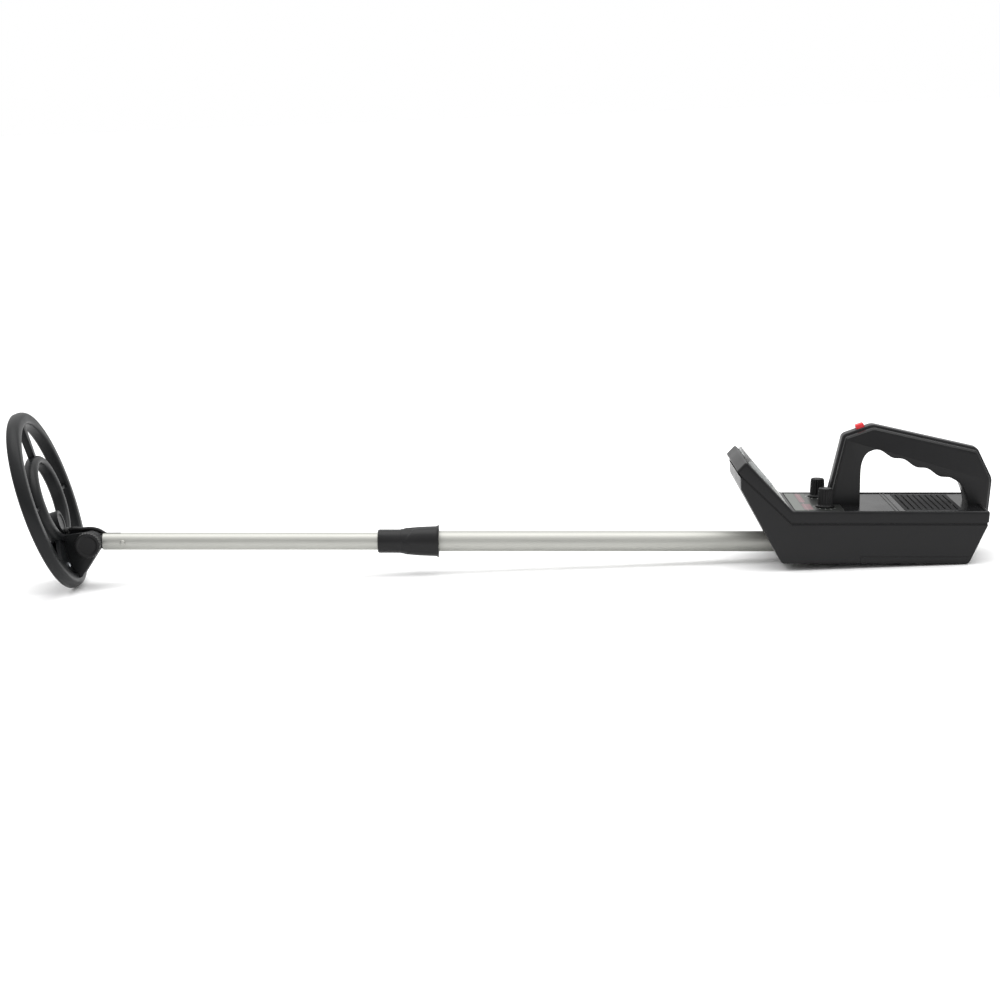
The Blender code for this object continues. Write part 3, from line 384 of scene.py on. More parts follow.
def wound(name, shade, pitch_mm, rough, metallic):
    """Enamelled wire laid side by side: fine parallel ridges round the coil's plane."""
    material, tree, shader, place = blank(name)
    coil = add_node(tree, "ShaderNodeMapping", {"Vector": place, "Location": -(HINGE * MM)})
    turned_back = add_node(tree, "ShaderNodeMapping", {"Vector": coil.outputs["Vector"],
                                                       "Rotation": (0.0, -COIL_ANGLE, 0.0)})
    _, _, height = split(tree, turned_back.outputs["Vector"])
    ridge = calc(tree, "PINGPONG", height, pitch_mm * MM / 2)
    raised = add_node(tree, "ShaderNodeBump", {"Height": calc(tree, "MULTIPLY", ridge, 1.0 / MM),
                                               "Strength": 0.5, "Distance": 0.2 * MM})
    grain = add_node(tree, "ShaderNodeTexNoise", {"Vector": place, "Scale": 1.0 / (3.0 * MM)})
    tree.links.new(tone(tree, grain.outputs["Fac"], scaled(shade, 0.8), scaled(shade, 1.1)),
                   shader.inputs["Base Color"])
    tree.links.new(raised.outputs["Normal"], shader.inputs["Normal"])
    shader.inputs["Roughness"].default_value = rough
    shader.inputs["Metallic"].default_value = metallic
    return material


def circuit_laminate(name):
    """Glass-epoxy board with green solder mask and darker tracks."""
    material, tree, shader, place = blank(name)
    tracks = add_node(tree, "ShaderNodeTexVoronoi", {"Vector": place, "Scale": 1.0 / (5.0 * MM)},
                      distance="MANHATTAN")
    tree.links.new(tone(tree, tracks.outputs["Distance"], linear("#1f5a34"), linear("#163f26"),
                        (0.25, 0.35)), shader.inputs["Base Color"])
    shader.inputs["Roughness"].default_value = 0.35
    return material


# Finishes already made, by their short names
FINISHES = {}


def finishes():
    """Every material, made once, named for the real material and how it was made."""
    if FINISHES:
        return FINISHES
    shades = colours()
    case, coil, knob = tuple(shades.case), tuple(shades.coil), tuple(shades.knob)
    FINISHES.update({
        # ABS from an eroded tool: satin, with a soft broad highlight
        "case": moulded("moulded_abs_case", case, 0.33, bump=0.05),
        # The same plastic off a polished part of the tool: the let-in panel
        "panel": moulded("moulded_abs_panel", scaled(case, 0.9), 0.24, 0.9, 0.03, shine=0.14),
        # A deeper, matter stipple, painted paler than the case: painted light that brightens the
        # bars to make up for the shade in the slots and the light on the top face
        "grille": moulded("moulded_abs_grille_painted_light", scaled(case, 2.0), 0.7, 0.5, 0.3, shine=0.15),
        # A separate moulding let into the handle, painted a shade lighter than the case as a
        # painted highlight along its top
        "spine": moulded("moulded_abs_spine_painted_highlight", scaled(case, 2.2), 0.36, bump=0.06),
        "coil": moulded("moulded_abs_coil", coil, 0.36, 0.7, 0.05, shine=0.18),
        # Phenolic: darker than the case, with a finer stipple
        "knob": moulded("moulded_phenolic_knob", knob, 0.36, 0.5, 0.08),
        # Moulded nylon, black for the nut and natural for the hinge and stem fittings
        "nut": moulded("moulded_nylon_black", case, 0.36, 0.5, 0.1),
        "lead": moulded("extruded_pvc_lead", linear("#1a1a1b"), 0.32, 1.6, 0.05),
        "nylon": moulded("moulded_nylon_natural", linear("#d9d6ca"), 0.45, 0.8, 0.08),
        "button": moulded("moulded_abs_red", tuple(shades.button), 0.32, 0.6, 0.05),
        "cover": moulded("moulded_styrene_cover", linear("#c9cbc8"), 0.3, 0.7, 0.05),
        "battery": moulded("printed_steel_jacket", linear("#3a3c40"), 0.3, 1.2, 0.03, coat=0.3),
        "rubber": moulded("moulded_rubber_washer", linear("#202020"), 0.7, 0.6, 0.2),
        "cone": moulded("pressed_paper_cone", linear("#3a3733"), 0.9, 0.35, 0.5),
        "ferrite": moulded("sintered_ferrite", linear("#33332f"), 0.75, 0.3, 0.3),
        # Drawn tube, satin anodised: pale, softly reflective, faint lines along it
        "tube": metal("anodised_aluminium_drawn", tuple(shades.tube), 0.52, (80.0, 0.6, 0.6)),
        # Zinc-plated pressings and screws, and plain turned shafts
        "zinc": metal("zinc_plated_steel", linear("#b8bcc0"), 0.3, (2.0, 2.0, 2.0)),
        "shaft": metal("turned_aluminium", linear("#c4c5c6"), 0.3, (0.5, 4.0, 4.0)),
        "label": printed_label("screen_printed_label"),
        "dial": printed_dial("printed_dial_card"),
        "lens": clear_acrylic("clear_acrylic_lens"),
        # The lens's side walls, sawn and not polished
        "frosted": moulded("moulded_acrylic_frosted_edge", linear("#b9bcbb"), 0.4, 0.8, 0.05),
        "winding": wound("enamelled_copper_winding", linear("#a8552d"), 0.8, 0.35, 0.9),
        "board": circuit_laminate("glass_epoxy_board"),
    })
    return FINISHES


# ---------------------------------------------------------------- modelling

def clear_selection():
    if bpy.context.object and bpy.context.object.mode != "OBJECT":
        bpy.ops.object.mode_set(mode="OBJECT")
    bpy.ops.object.select_all(action="DESELECT")


def pick(obj):
    """Select one object alone and make it the active one."""
    clear_selection()
    obj.select_set(True)
    bpy.context.view_layer.objects.active = obj
    return obj


def editing(obj):
    pick(obj)
    bpy.ops.object.mode_set(mode="EDIT")
    bpy.ops.mesh.select_mode(type="VERT")
    bpy.ops.mesh.select_all(action="SELECT")


def done():
    bpy.ops.object.mode_set(mode="OBJECT")


PLACES = {"X": lambda p, q, h: Vector((h, p, q)),
          "Y": lambda p, q, h: Vector((p, h, q)),
          "Z": lambda p, q, h: Vector((p, q, h))}
ALONG = {"X": Vector((1.0, 0.0, 0.0)), "Y": Vector((0.0, 1.0, 0.0)), "Z": Vector((0.0, 0.0, 1.0))}


def laid(name, points, fill):
    """A flat circle of edges whose corners are moved to the given points, in millimetres."""
    clear_selection()
    bpy.ops.mesh.primitive_circle_add(vertices=len(points), radius=1.0, fill_type=fill)
    obj = bpy.context.object
    obj.name = name
    for vertex, point in zip(obj.data.vertices, points):
        vertex.co = Vector(point) * MM
    return obj


def tidy_faces(obj, join=1e-6):
    editing(obj)
    bpy.ops.mesh.remove_doubles(threshold=join)
    bpy.ops.mesh.delete_loose()
    bpy.ops.mesh.select_all(action="SELECT")
    bpy.ops.mesh.normals_make_consistent(inside=False)
    done()
    return obj


def plate(name, outline, low, high, axis="Y"):
    """An outline filled, then extruded along an axis."""
    obj = laid(name, [PLACES[axis](p, q, low) for p, q in outline], "NGON")
    editing(obj)
    bpy.ops.mesh.extrude_region_move(
        TRANSFORM_OT_translate={"value": ALONG[axis] * ((high - low) * MM)})
    done()
    return tidy_faces(obj)


def brick(name, low, high):
    """A block between two opposite corners."""
    corners = [(low[0], low[2]), (high[0], low[2]), (high[0], high[2]), (low[0], high[2])]
    return plate(name, corners, low[1], high[1])


def turned(name, profile, axis="X", centre=(0.0, 0.0), steps=96):
    """A closed outline of (radius, height) points, spun right round an axis."""
    place = PLACES[axis]
    obj = laid(name, [place(centre[0] + r, centre[1], h) for r, h in profile], "NOTHING")
    editing(obj)
    bpy.ops.mesh.spin(steps=steps, angle=2.0 * math.pi, use_auto_merge=True,
                      center=place(centre[0], centre[1], 0.0) * MM, axis=ALONG[axis])
    done()
    return tidy_faces(obj, 2e-6)


def circle(radius, sides, centre=(0.0, 0.0), start=0.0, sweep=2.0 * math.pi):
    """Points round a circle; an arc includes both of its ends."""
    steps = sides if abs(sweep - 2.0 * math.pi) < 1e-6 else sides - 1
    return [(centre[0] + radius * math.cos(start + sweep * i / steps),
             centre[1] + radius * math.sin(start + sweep * i / steps)) for i in range(sides)]


def peg(name, radius, low, high, axis="X", centre=(0.0, 0.0), sides=48):
    return plate(name, circle(radius, sides, centre), low, high, axis)


def eased(path, radius, steps=4, closed=True):
    """Each corner of an outline replaced by a short curve. radius may be one per corner."""
    count = len(path)
    radii = radius if hasattr(radius, "__len__") else [radius] * count
    out = []
    for i, point in enumerate(path):
        if radii[i] <= 0.0 or (not closed and i in (0, count - 1)):
            out.append(tuple(point))
            continue
        here, before, after = Vector(point), Vector(path[i - 1]), Vector(path[(i + 1) % count])
        a = here + (before - here).normalized() * min(radii[i], 0.45 * (before - here).length)
        b = here + (after - here).normalized() * min(radii[i], 0.45 * (after - here).length)
        for k in range(steps + 1):
            t = k / steps
            out.append((a * (1 - t) ** 2 + here * 2 * t * (1 - t) + b * t * t)[:])
    return out


def offset(path, distance, closed=False):
    """Shift a polyline sideways; positive moves to the right of its direction."""
    count = len(path)
    moved = []
    for i, point in enumerate(path):
        here = Vector(point)
        sides = []
        if closed or i > 0:
            sides.append((here - Vector(path[i - 1])).normalized())
        if closed or i < count - 1:
            sides.append((Vector(path[(i + 1) % count]) - here).normalized())
        normals = [Vector((d.y, -d.x)) for d in sides]
        total = sum(normals, Vector((0.0, 0.0)))
        moved.append((here + total * (len(normals) * distance / total.length_squared))[:])
    return moved


def place_at(obj, matrix):
    """Move an object that was modelled on its own axes to its place, and apply it."""
    spot = matrix.copy()
    spot.translation = matrix.translation * MM
    obj.matrix_world = spot
    pick(obj)
    bpy.ops.object.transform_apply(location=True, rotation=True, scale=True)
    return obj


def modify(obj, kind, **settings):
    """Add a modifier, set it and apply it."""
    pick(obj)
    bpy.ops.object.modifier_add(type=kind)
    modifier = obj.modifiers[-1]
    for key, value in settings.items():
        setattr(modifier, key, value)
    bpy.ops.object.modifier_apply(modifier=modifier.name)
    return obj


def rounded_edges(obj, width, segments=3, angle=30.0):
    return modify(obj, "BEVEL", width=width * MM, segments=segments, limit_method="ANGLE",
                  angle_limit=math.radians(angle), use_clamp_overlap=True, profile=0.6)


def combine(obj, tools, operation):
    for tool in tools:
        modify(obj, "BOOLEAN", operation=operation, object=tool, solver="EXACT")
        bpy.data.objects.remove(tool)
    return obj


def cut(obj, *tools):
    return combine(obj, tools, "DIFFERENCE")


def fuse(obj, *tools):
    return combine(obj, tools, "UNION")


def finished(obj, finish, body, *stands_for, degrees=32.0, slot=None):
    """Smooth the curved faces, give the finish, ride on a body and stand for CAD nodes."""
    pick(obj)
    bpy.ops.object.shade_smooth_by_angle(angle=math.radians(degrees))
    obj.data.materials.clear()
    obj.data.materials.append(finishes()[finish])
    if body:
        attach(obj, body)
    if stands_for:
        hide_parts(*stands_for)


def refinish(finish, *names):
    """Give CAD nodes whose shape is already right their finish."""
    for name in names:
        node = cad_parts[name]
        node.data.materials.clear()
        node.data.materials.append(finishes()[finish])


def fluted(obj, axis, centre, count, depth, low, high, edge=0.8, sharp=1.0):
    """Press grooves into a turned piece between two heights, in millimetres."""
    for vertex in obj.data.vertices:
        place = vertex.co / MM
        across, h = (place.y, place.z) if axis == "Z" else (place.z, place.y)
        p, q = place.x - centre[0], across - centre[1]
        r = math.hypot(p, q)
        if r < 3.0:
            continue
        fade = min(1.0, max(0.0, min(h - low, high - h) / edge))
        wave = (0.5 - 0.5 * math.cos(count * math.atan2(q, p))) ** sharp
        k = 1.0 - depth * fade * wave / r
        vertex.co = PLACES[axis](centre[0] + p * k, centre[1] + q * k, h) * MM
    return obj


# ---------------------------------------------------------------- search coil

def ring_section(outer, inner):
    """Closed outline of the hollow upper half of a ring, as (radius, height)."""
    low, w, top = COIL_SPLIT + GAP / 2, 2.0, COIL_TOP
    outside = [(outer - 0.4, low), (outer, -0.6), (outer - 0.7, 3.0), (outer - 2.4, 5.6),
               (outer - 4.6, top), (inner + 1.6, top), (inner, top - 1.6), (inner, low)]
    channel = [(inner + w, low), (inner + w, top - w), (outer - 4.6, top - w),
               (outer - w - 0.6, 2.2), (outer - w - 0.6, low)]
    return eased(outside + channel, [0.0, 4.0, 3.0, 2.4, 2.4, 1.5, 1.5] + [0.0] * 6, 3)


def cover_section(outer, inner):
    high = COIL_SPLIT - GAP / 2
    return eased([(outer - 0.5, high), (outer - 2.2, COIL_BASE), (inner + 1.2, COIL_BASE),
                  (inner, high)], [0.0, 0.9, 0.9, 0.0], 3)


def oval(obj, nominal):
    """Draw a round ring out to the inner loop's two ovals."""
    for vertex in obj.data.vertices:
        x, y = vertex.co.x / MM, vertex.co.y / MM
        angle, r = math.atan2(y, x), math.hypot(x, y)
        share = (r - nominal[1]) / (nominal[0] - nominal[1])
        far, near = [1.0 / math.hypot(math.cos(angle) / a, math.sin(angle) / b)
                     for a, b in (LOOP_OUT, LOOP_IN)]
        k = (near + share * (far - near)) / r
        vertex.co.x *= k
        vertex.co.y *= k
    return obj


def spoke(name, middle, half, low, high, inner=0.0, outer=0.0, steps=16):
    """A plate between the loop and the ring, half an angle each side of the middle."""
    angles = [math.radians(middle - half + 2.0 * half * i / steps) for i in range(steps + 1)]
    near, far = [], []
    for t in angles:
        r = 1.0 / math.hypot(math.cos(t) / (LOOP_OUT[0] - 1.0 - inner),
                             math.sin(t) / (LOOP_OUT[1] - 1.0 - inner))
        near.append((r * math.cos(t), r * math.sin(t)))
        far.append(((RING[1] + 1.0 + outer) * math.cos(t), (RING[1] + 1.0 + outer) * math.sin(t)))
    return plate(name, near + far[::-1], low, high, "Z")


def ear(name, low, high):
    """One hinge ear, from the web up round the pivot."""
    pivot = (-COIL_CENTRE.x, -COIL_CENTRE.z)
    arc = circle(EAR_R, 25, pivot, math.radians(172.0), math.radians(-132.0))
    foot = [(90.0, 9.6), (90.4, 5.8), (86.6, 5.2), (86.2, 1.0)]
    outline = [(49.2, 1.0), (48.6, 5.2), (41.0, 5.4), (41.0, 9.0)] + arc + foot
    return rounded_edges(plate(name, outline, low, high), 0.7, 2, 40.0)


def build_coil_shell():
    shell = turned("coil_upper_shell", ring_section(*RING), "Z", steps=160)
    loop = oval(turned("loop", ring_section(*ROUND_LOOP), "Z", steps=112), ROUND_LOOP)
    parts = [loop, rounded_edges(spoke("web", 0.0, 36.0, -1.0, 3.0), 0.8, 2, 50.0),
             rounded_edges(spoke("spoke", 180.0, 4.2, -4.4, 3.4, steps=4), 0.8, 2, 50.0)]
    for side in (90.0, 270.0):
        parts.append(rounded_edges(spoke("lug", side, 1.4, -3.0, 2.6, steps=4), 0.8, 2, 50.0))
    for side in (-1.0, 1.0):
        parts.append(ear("ear", *sorted((side * EAR_B[0], side * EAR_B[1]))))
    dish = [(0.0, 4.7), (9.6, 4.7), (10.3, 5.6), (BOSS_R - 0.3, 5.6), (BOSS_R, 5.3),
            (BOSS_R, -4.6), (BOSS_R - 2.0, -4.6), (BOSS_R - 2.0, 3.4), (0.0, 3.4)]
    parts.append(turned("boss", eased(dish, [0, 0, 0.4, 0.8, 0, 0, 0, 0, 0], 3), "Z",
                        (BOSS_A, 0.0), 64))
    fuse(shell, *parts)
    hinge = (-COIL_CENTRE.x, -COIL_CENTRE.z)
    tools = [peg("bore", PIVOT_R, -20.0, 20.0, "Y", hinge, 32),
             peg("gland_hole", 3.0, 0.0, 9.0, "Z", (GLAND_A, 0.0), 32)]
    for side in (-1.0, 1.0):
        tools.append(peg("screw_hole", 1.6, -9.0, 9.0, "Z",
                         (COIL_SCREW[0], side * COIL_SCREW[1]), 24))
    cut(shell, *tools)
    place_at(shell, COIL_PLANE)
    finished(shell, "coil", "coil", "coil_upper_shell", slot="coil_plastic")


def build_coil_cover():
    high = COIL_SPLIT - GAP / 2
    cover = turned("coil_lower_cover", cover_section(*RING), "Z", steps=160)
    loop = oval(turned("loop", cover_section(*ROUND_LOOP), "Z", steps=112), ROUND_LOOP)
    parts = [loop,
             spoke("web", 0.0, 35.0, COIL_BASE + 0.4, high - 0.2, 2.0, 2.0),
             peg("boss", BOSS_R, COIL_BASE + 0.3, high - 0.1, "Z", (BOSS_A, 0.0), 64)]
    for side in (-1.0, 1.0):
        spot = (COIL_SCREW[0], side * COIL_SCREW[1])
        parts.append(peg("post", 3.2, high - 1.0, -1.3, "Z", spot, 24))
    fuse(cover, *parts)
    cut(cover, *[peg("pilot", 1.15, -5.9, 0.0, "Z", (COIL_SCREW[0], side * COIL_SCREW[1]), 16)
                 for side in (-1.0, 1.0)])
    place_at(cover, COIL_PLANE)
    finished(cover, "coil", "coil", "coil_lower_cover", slot="coil_plastic")


def build_hinge():
    """Thumb knob with a fluted edge, and the tip of the stem with its rivet hole."""
    profile = eased([(3.3, -15.4), (9.0, -15.4), (9.0, -17.0), (13.2, -17.6), (13.9, -18.4),
                     (13.9, -26.4), (12.9, -27.4), (10.6, -27.4), (9.8, -26.5), (0.0, -26.5),
                     (0.0, -22.0), (3.3, -22.0)],
                    [0, 0, 0.3, 0.3, 0.3, 0.6, 0.6, 0.5, 0.5, 0, 0, 0], 3)
    knob = turned("thumb_knob", profile, "Y", (HINGE.x, HINGE.z), sizes().knurl * 8)
    fluted(knob, "Y", (HINGE.x, HINGE.z), sizes().knurl, 0.8, -27.2, -17.7, 0.9, 0.8)
    finished(knob, "knob", "thumb_knob", "thumb_knob", slot="black_knob")
    tip = peg("stem_tip", 10.6, -8.2, 8.2, "Y", (HINGE.x, HINGE.z), 72)
    plug = LOWER_R - TUBE_WALL - GAP
    fuse(tip, peg("neck", 8.1, HINGE.x + 2.0, LOWER_X[0] - GAP, "X", (0.0, AXIS_Z)),
         peg("plug", plug, LOWER_X[0] - 1.0, -746.0, "X", (0.0, AXIS_Z)))
    cut(tip, peg("bore", PIVOT_R, -12.0, 12.0, "Y", (HINGE.x, HINGE.z)),
        brick("lead_way", (-778.5, -2.8, AXIS_Z + 1.2), (-740.0, 2.8, AXIS_Z + 12.0)),
        peg("rivet_hole", RIVET_R, -12.0, 12.0, "Y", (RIVET_X, AXIS_Z), 24))
    rounded_edges(tip, 0.5, 2, 60.0)
    finished(tip, "case", "lower_stem", "stem_tip", slot="black_case")


def smooth_route(points, step):
    """Points at even steps along a Catmull-Rom curve through the given ones."""
    knots = [Vector(p) for p in points]
    dense = []
    for i in range(len(knots) - 1):
        p0, p1 = knots[max(i - 1, 0)], knots[i]
        p2, p3 = knots[i + 1], knots[min(i + 2, len(knots) - 1)]
        for k in range(24):
            t = k / 24.0
            dense.append(0.5 * (2 * p1 + (p2 - p0) * t + (2 * p0 - 5 * p1 + 4 * p2 - p3) * t ** 2
                                + (3 * p1 - 3 * p2 + p3 - p0) * t ** 3))
    dense.append(knots[-1])
    total = sum((b - a).length for a, b in zip(dense, dense[1:]))
    count = max(2, round(total / step))
    out, walked, target = [dense[0]], 0.0, total / count
    for a, b in zip(dense, dense[1:]):
        length = (b - a).length
        while walked + length >= target - 1e-9 and len(out) < count:
            out.append(a.lerp(b, (target - walked) / length))
            target += total / count
        walked += length
    return out + [dense[-1]], total


def tube_along(name, points, radius, sides=6):
    """A round bar swept along points: a curve with a bevel, made a mesh with closed ends."""
    curve = bpy.data.curves.new(name, "CURVE")
    curve.dimensions = "3D"
    curve.bevel_depth = radius * MM
    curve.bevel_resolution = sides
    curve.use_fill_caps = True
    spline = curve.splines.new("POLY")
    spline.points.add(len(points) - 1)
    for knot, point in zip(spline.points, points):
        knot.co = (*(Vector(point) * MM), 1.0)
    obj = bpy.data.objects.new(name, curve)
    bpy.context.collection.objects.link(obj)
    pick(obj)
    bpy.ops.object.convert(target="MESH")
    obj = bpy.context.object
    obj.name = name
    return tidy_faces(obj, 1e-6)


def build_coil_lead():
    gland = COIL_PLANE @ Vector((GLAND_A, 0.0, 10.2))
    lift = COIL_PLANE.to_3x3() @ Vector((0.0, 0.0, 1.0))
    knots = [gland, gland + lift * 5.0, (-799.0, 0.0, 26.6), (-789.0, 0.0, 27.0),
             (-780.5, 0.0, 24.9), (-772.0, 0.0, 19.9), (-762.0, 0.0, 18.1), (-740.0, 0.0, 17.0)]
    route, length = smooth_route(knots, 1.2)
    lead = tube_along("coil_lead", route, 2.1, 5)
    finished(lead, "lead", None, "coil_lead", slot="lead_rubber")
    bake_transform(lead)


# ---------------------------------------------------------------- stem

def build_stem():
    lower = turned("lower_tube", tube_section(LOWER_R, *LOWER_X), "X", (0.0, AXIS_Z), 96)
    cut(lower, brick("lead_slot", (-778.0, -2.7, AXIS_Z + 3.0), (-757.0, 2.7, AXIS_Z + 12.0)),
        peg("rivet_hole", RIVET_R, -12.0, 12.0, "Y", (RIVET_X, AXIS_Z), 24))
    finished(lower, "tube", "lower_stem", "lower_tube", slot="aluminium")
    upper = turned("upper_tube", tube_section(UPPER_R, *UPPER_X), "X", (0.0, AXIS_Z), 96)
    finished(upper, "tube", "control_box", "upper_tube", slot="aluminium")
    build_lock_nut()


def tube_section(radius, start, end):
    """A tube's wall with its ends deburred."""
    c = 0.3
    return [(radius - TUBE_WALL + c, start), (radius - c, start), (radius, start + c),
            (radius, end - c), (radius - c, end), (radius - TUBE_WALL + c, end),
            (radius - TUBE_WALL, end - c), (radius - TUBE_WALL, start + c)]


def build_lock_nut():
    """Twist-lock nut: a plain nose, two steps and four raised grips with slanting ends."""
    start, end = NUT_X
    band = [(14.0 + 1.2 * i / 16, -451.6 + 13.6 * i / 16) for i in range(17)]
    profile = ([(10.0, start), (11.8, start), (12.6, start + 0.7), (12.9, start + 2.2),
                (12.9, -452.6), (13.1, -452.2)] + band
               + [(15.7, -432.0), (16.5, end - 3.2), (16.8, end - 2.4), (17.5, end - 0.9),
                  (17.9, end - 0.5), (17.9, end - 0.1), (17.7, end), (13.9, end),
                  (13.9, -447.0), (12.6, -448.0), (11.0, -470.0), (10.0, -471.0)])
    nut = turned("lock_nut", profile, "X", (0.0, AXIS_Z), 160)
    for vertex in nut.data.vertices:
        place = vertex.co / MM
        y, z = place.y, place.z - AXIS_Z
        r = math.hypot(y, z)
        if not (-451.8 < place.x < end - 3.1 and r > 13.5):
            continue
        # The leading end of each grip runs slantwise round a quarter of the nut
        quarter = (math.atan2(z, -y) / (math.pi / 2)) % 1.0
        edge = -449.5 + 14.0 * quarter
        rise = 0.6 * min(1.0, max(0.0, (place.x - edge) / 1.0))
        k = (r - 0.6 + rise) / r
        vertex.co = Vector((place.x, y * k, AXIS_Z + z * k)) * MM
    finished(nut, "nut", "lock_nut", "lock_nut", degrees=24.0, slot="black_grip")


# ---------------------------------------------------------------- control box

def case_outline(grow=0.0):
    """The box in side view; its rim stands 1 mm above the panel."""
    lift = RIM_Z - PANEL_Z
    outline = list(BOX_OUTLINE)
    outline[3] = (outline[3][0], RIM_Z)
    outline[4] = (SLOPE_FOOT[0] + 0.45 * lift, RIM_Z)
    if grow:
        outline = offset(outline, grow, closed=True)
    return outline


def case_form(name):
    form = plate(name, case_outline(), -HALF_WIDTH, HALF_WIDTH)
    return rounded_edges(form, 3.2, 4, 24.0)


def hollow(name):
    inside = offset(BOX_OUTLINE, -WALL, closed=True)
    inside[0], inside[1] = (inside[0][0], FLOOR), (inside[1][0], FLOOR)
    return plate(name, inside, -HALF_WIDTH + WALL, HALF_WIDTH - WALL)


def parting(shift):
    """The line between the two case halves: level, then up beside the meter."""
    run = (-93.8 + 34.0, 99.4 - PARTING_Z)
    return [(-34.0 + run[0] * 1.4, PARTING_Z + run[1] * 1.4 + shift),
            (-34.0, PARTING_Z + shift), (210.0, PARTING_Z + shift)]


def groove_band():
    """The shadow groove let in all round along the parting line."""
    half = sizes().groove / MM / 2
    band = plate("groove_band", parting(half) + parting(-half)[::-1], -80.0, 80.0)
    depth = sizes().groove_depth / MM
    core = plate("groove_core", case_outline(-depth), -HALF_WIDTH + depth, HALF_WIDTH - depth)
    return cut(band, core)


def handle_outline():
    """The grip in side view: shoulders outside, finger hollows inside."""
    outside = offset(eased(SPINE_PATH, SPINE_ROUND, 5, closed=False), SPINE_PROUD)
    outside[0] = (outside[0][0] - 0.6, 54.6)
    outside[-1] = (outside[-1][0], 47.0)
    pitch, fall, wave = 25.7, 0.395, 1.6
    grip = []
    for i in range(41):
        x = 76.0 + 1.66 * i
        swing = math.sin(2.0 * math.pi * (x - 84.5) / pitch)
        grip.append((x, 110.2 - fall * (x - 76.0) + wave * swing))
    nose = eased([(44.6, 54.6), (44.6, 100.0), (50.0, 113.0), (63.0, 117.8), grip[0]], 10.0, 6,
                 closed=False)
    heel = eased([grip[-1], (154.6, 79.0), (160.6, 63.0), (161.7, 54.6)], 7.0, 5, closed=False)
    outline = outside + [(175.5, 44.4), (175.5, 54.6)] + heel[::-1] + grip[-2:0:-1] + nose[::-1]
    return outline, len(outside), len(outside) + 2


def select_edges(obj, wanted):
    """Edit mode with only the edges for which wanted(start, end) is true, in millimetres."""
    pick(obj)
    bpy.ops.object.mode_set(mode="EDIT")
    bpy.ops.mesh.select_mode(type="EDGE")
    bpy.ops.mesh.select_all(action="DESELECT")
    bpy.ops.object.mode_set(mode="OBJECT")
    mesh = obj.data
    for edge in mesh.edges:
        a, b = [mesh.vertices[i].co / MM for i in edge.vertices]
        edge.select = bool(wanted(a, b))
    bpy.ops.object.mode_set(mode="EDIT")


def build_handle_form():
    outline, outside, heel = handle_outline()
    form = plate("handle", outline, -HANDLE_HALF, HANDLE_HALF)
    shoulder = [Vector((p, q)) for p, q in outline[:outside]]

    def near(point, places):
        return any(abs(point.x - p.x) < 0.02 and abs(point.z - p.y) < 0.02 for p in places)

    select_edges(form, lambda a, b: a.y * b.y > 0 and near(a, shoulder) and near(b, shoulder))
    bpy.ops.mesh.bevel(offset=4.5 * MM, segments=3, profile=0.55, affect="EDGES")
    done()
    inner = [Vector((p, q)) for p, q in outline[heel:]]
    select_edges(form, lambda a, b: a.y * b.y > 0 and near(a, inner) and near(b, inner)
                 and max(a.z, b.z) > 56.0)
    bpy.ops.mesh.bevel(offset=0.5 * MM, segments=2, profile=0.5, affect="EDGES")
    done()
    return tidy_faces(form)


def build_upper_case():
    case = case_form("upper_case")
    cut(case, plate("below", parting(GAP / 2) + [(210.0, -30.0), (-190.0, -30.0)], -70.0, 70.0),
        hollow("inside"), groove_band())
    # The panel is let in 1 mm below the rim that runs round it
    cut(case, plate("panel_bed", [(SLOPE_FOOT[0] + 1.4, PANEL_Z), (172.6, PANEL_Z),
                                  (172.6, 70.0), (-10.0, 70.0)], -56.4, 56.4))
    fuse(case, build_handle_form())
    # Two ribs mark off the speaker from the control panel
    ribs = [plate("rib", eased([(x - 0.7, PANEL_Z - 0.5), (x - 0.7, PANEL_Z + 0.55),
                                (x + 0.7, PANEL_Z + 0.55), (x + 0.7, PANEL_Z - 0.5)],
                               [0, 0.4, 0.4, 0]), -55.5, 55.5) for x in (77.6, 81.6)]
    fuse(case, *ribs)
    channel = offset(SPINE_PATH, -8.0) + offset(SPINE_PATH, 9.0)[::-1]
    tools = [plate("spine_way", channel, -SPINE_HALF - 0.5, SPINE_HALF + 0.5),
             place_at(brick("button_well", (-7.5, -5.5, -24.0), (7.5, 5.5, 5.0)), BUTTON_PLANE),
             brick("lead_way", (22.0, -3.0, 40.0), (28.0, 3.0, 62.0)),
             brick("lead_turn", (20.0, -3.0, 58.0), (25.0, 3.0, 62.0)),
             brick("speaker_hole", (GRILLE_X[0] + 2.0, -GRILLE_Y + 2.0, 50.0),
                   (GRILLE_X[1] - 2.0, GRILLE_Y - 2.0, 60.0)),
             brick("grille_bed", (GRILLE_X[0] - GAP, -GRILLE_Y - GAP, 55.0),
                   (GRILLE_X[1] + GAP, GRILLE_Y + GAP, 60.0)),
             place_at(brick("meter_hole", (-31.0, -METER_HALF + 5.0, -8.0),
                            (22.0, METER_HALF - 5.0, 6.0)), SLOPE_PLANE)]
    for side in (-1.0, 1.0):
        tools.append(peg("shaft_hole", 4.0, 40.0, 60.0, "Z", (KNOB_X, side * KNOB_Y)))
    cut(case, *tools)
    for side in (-1.0, 1.0):
        for x, foot in ((-30.0, 2.2), (150.0, 13.6)):
            spot = (x, side * (50.0 if x < 0.0 else 51.0))
            fuse(case, peg("post", 3.8, foot, 54.5, "Z", spot, 24))
            cut(case, peg("pilot", 1.5, foot - 2.0, foot + 12.0, "Z", spot, 16))
    for x in (-16.0, 76.0):
        for side in (-1.0, 1.0):
            fuse(case, peg("board_post", 2.6, 35.0, 54.5, "Z", (x, side * 39.0), 20))
    finished(case, "case", "control_box", "upper_case", slot="black_case")
    # The let-in panel is polished in the tool, the rest is stippled
    case.data.materials.append(finishes()["panel"])
    for face in case.data.polygons:
        middle = face.center / MM
        if (abs(middle.z - PANEL_Z) < 0.1 and face.normal.z > 0.9 and abs(middle.y) < 56.5):
            face.material_index = 1


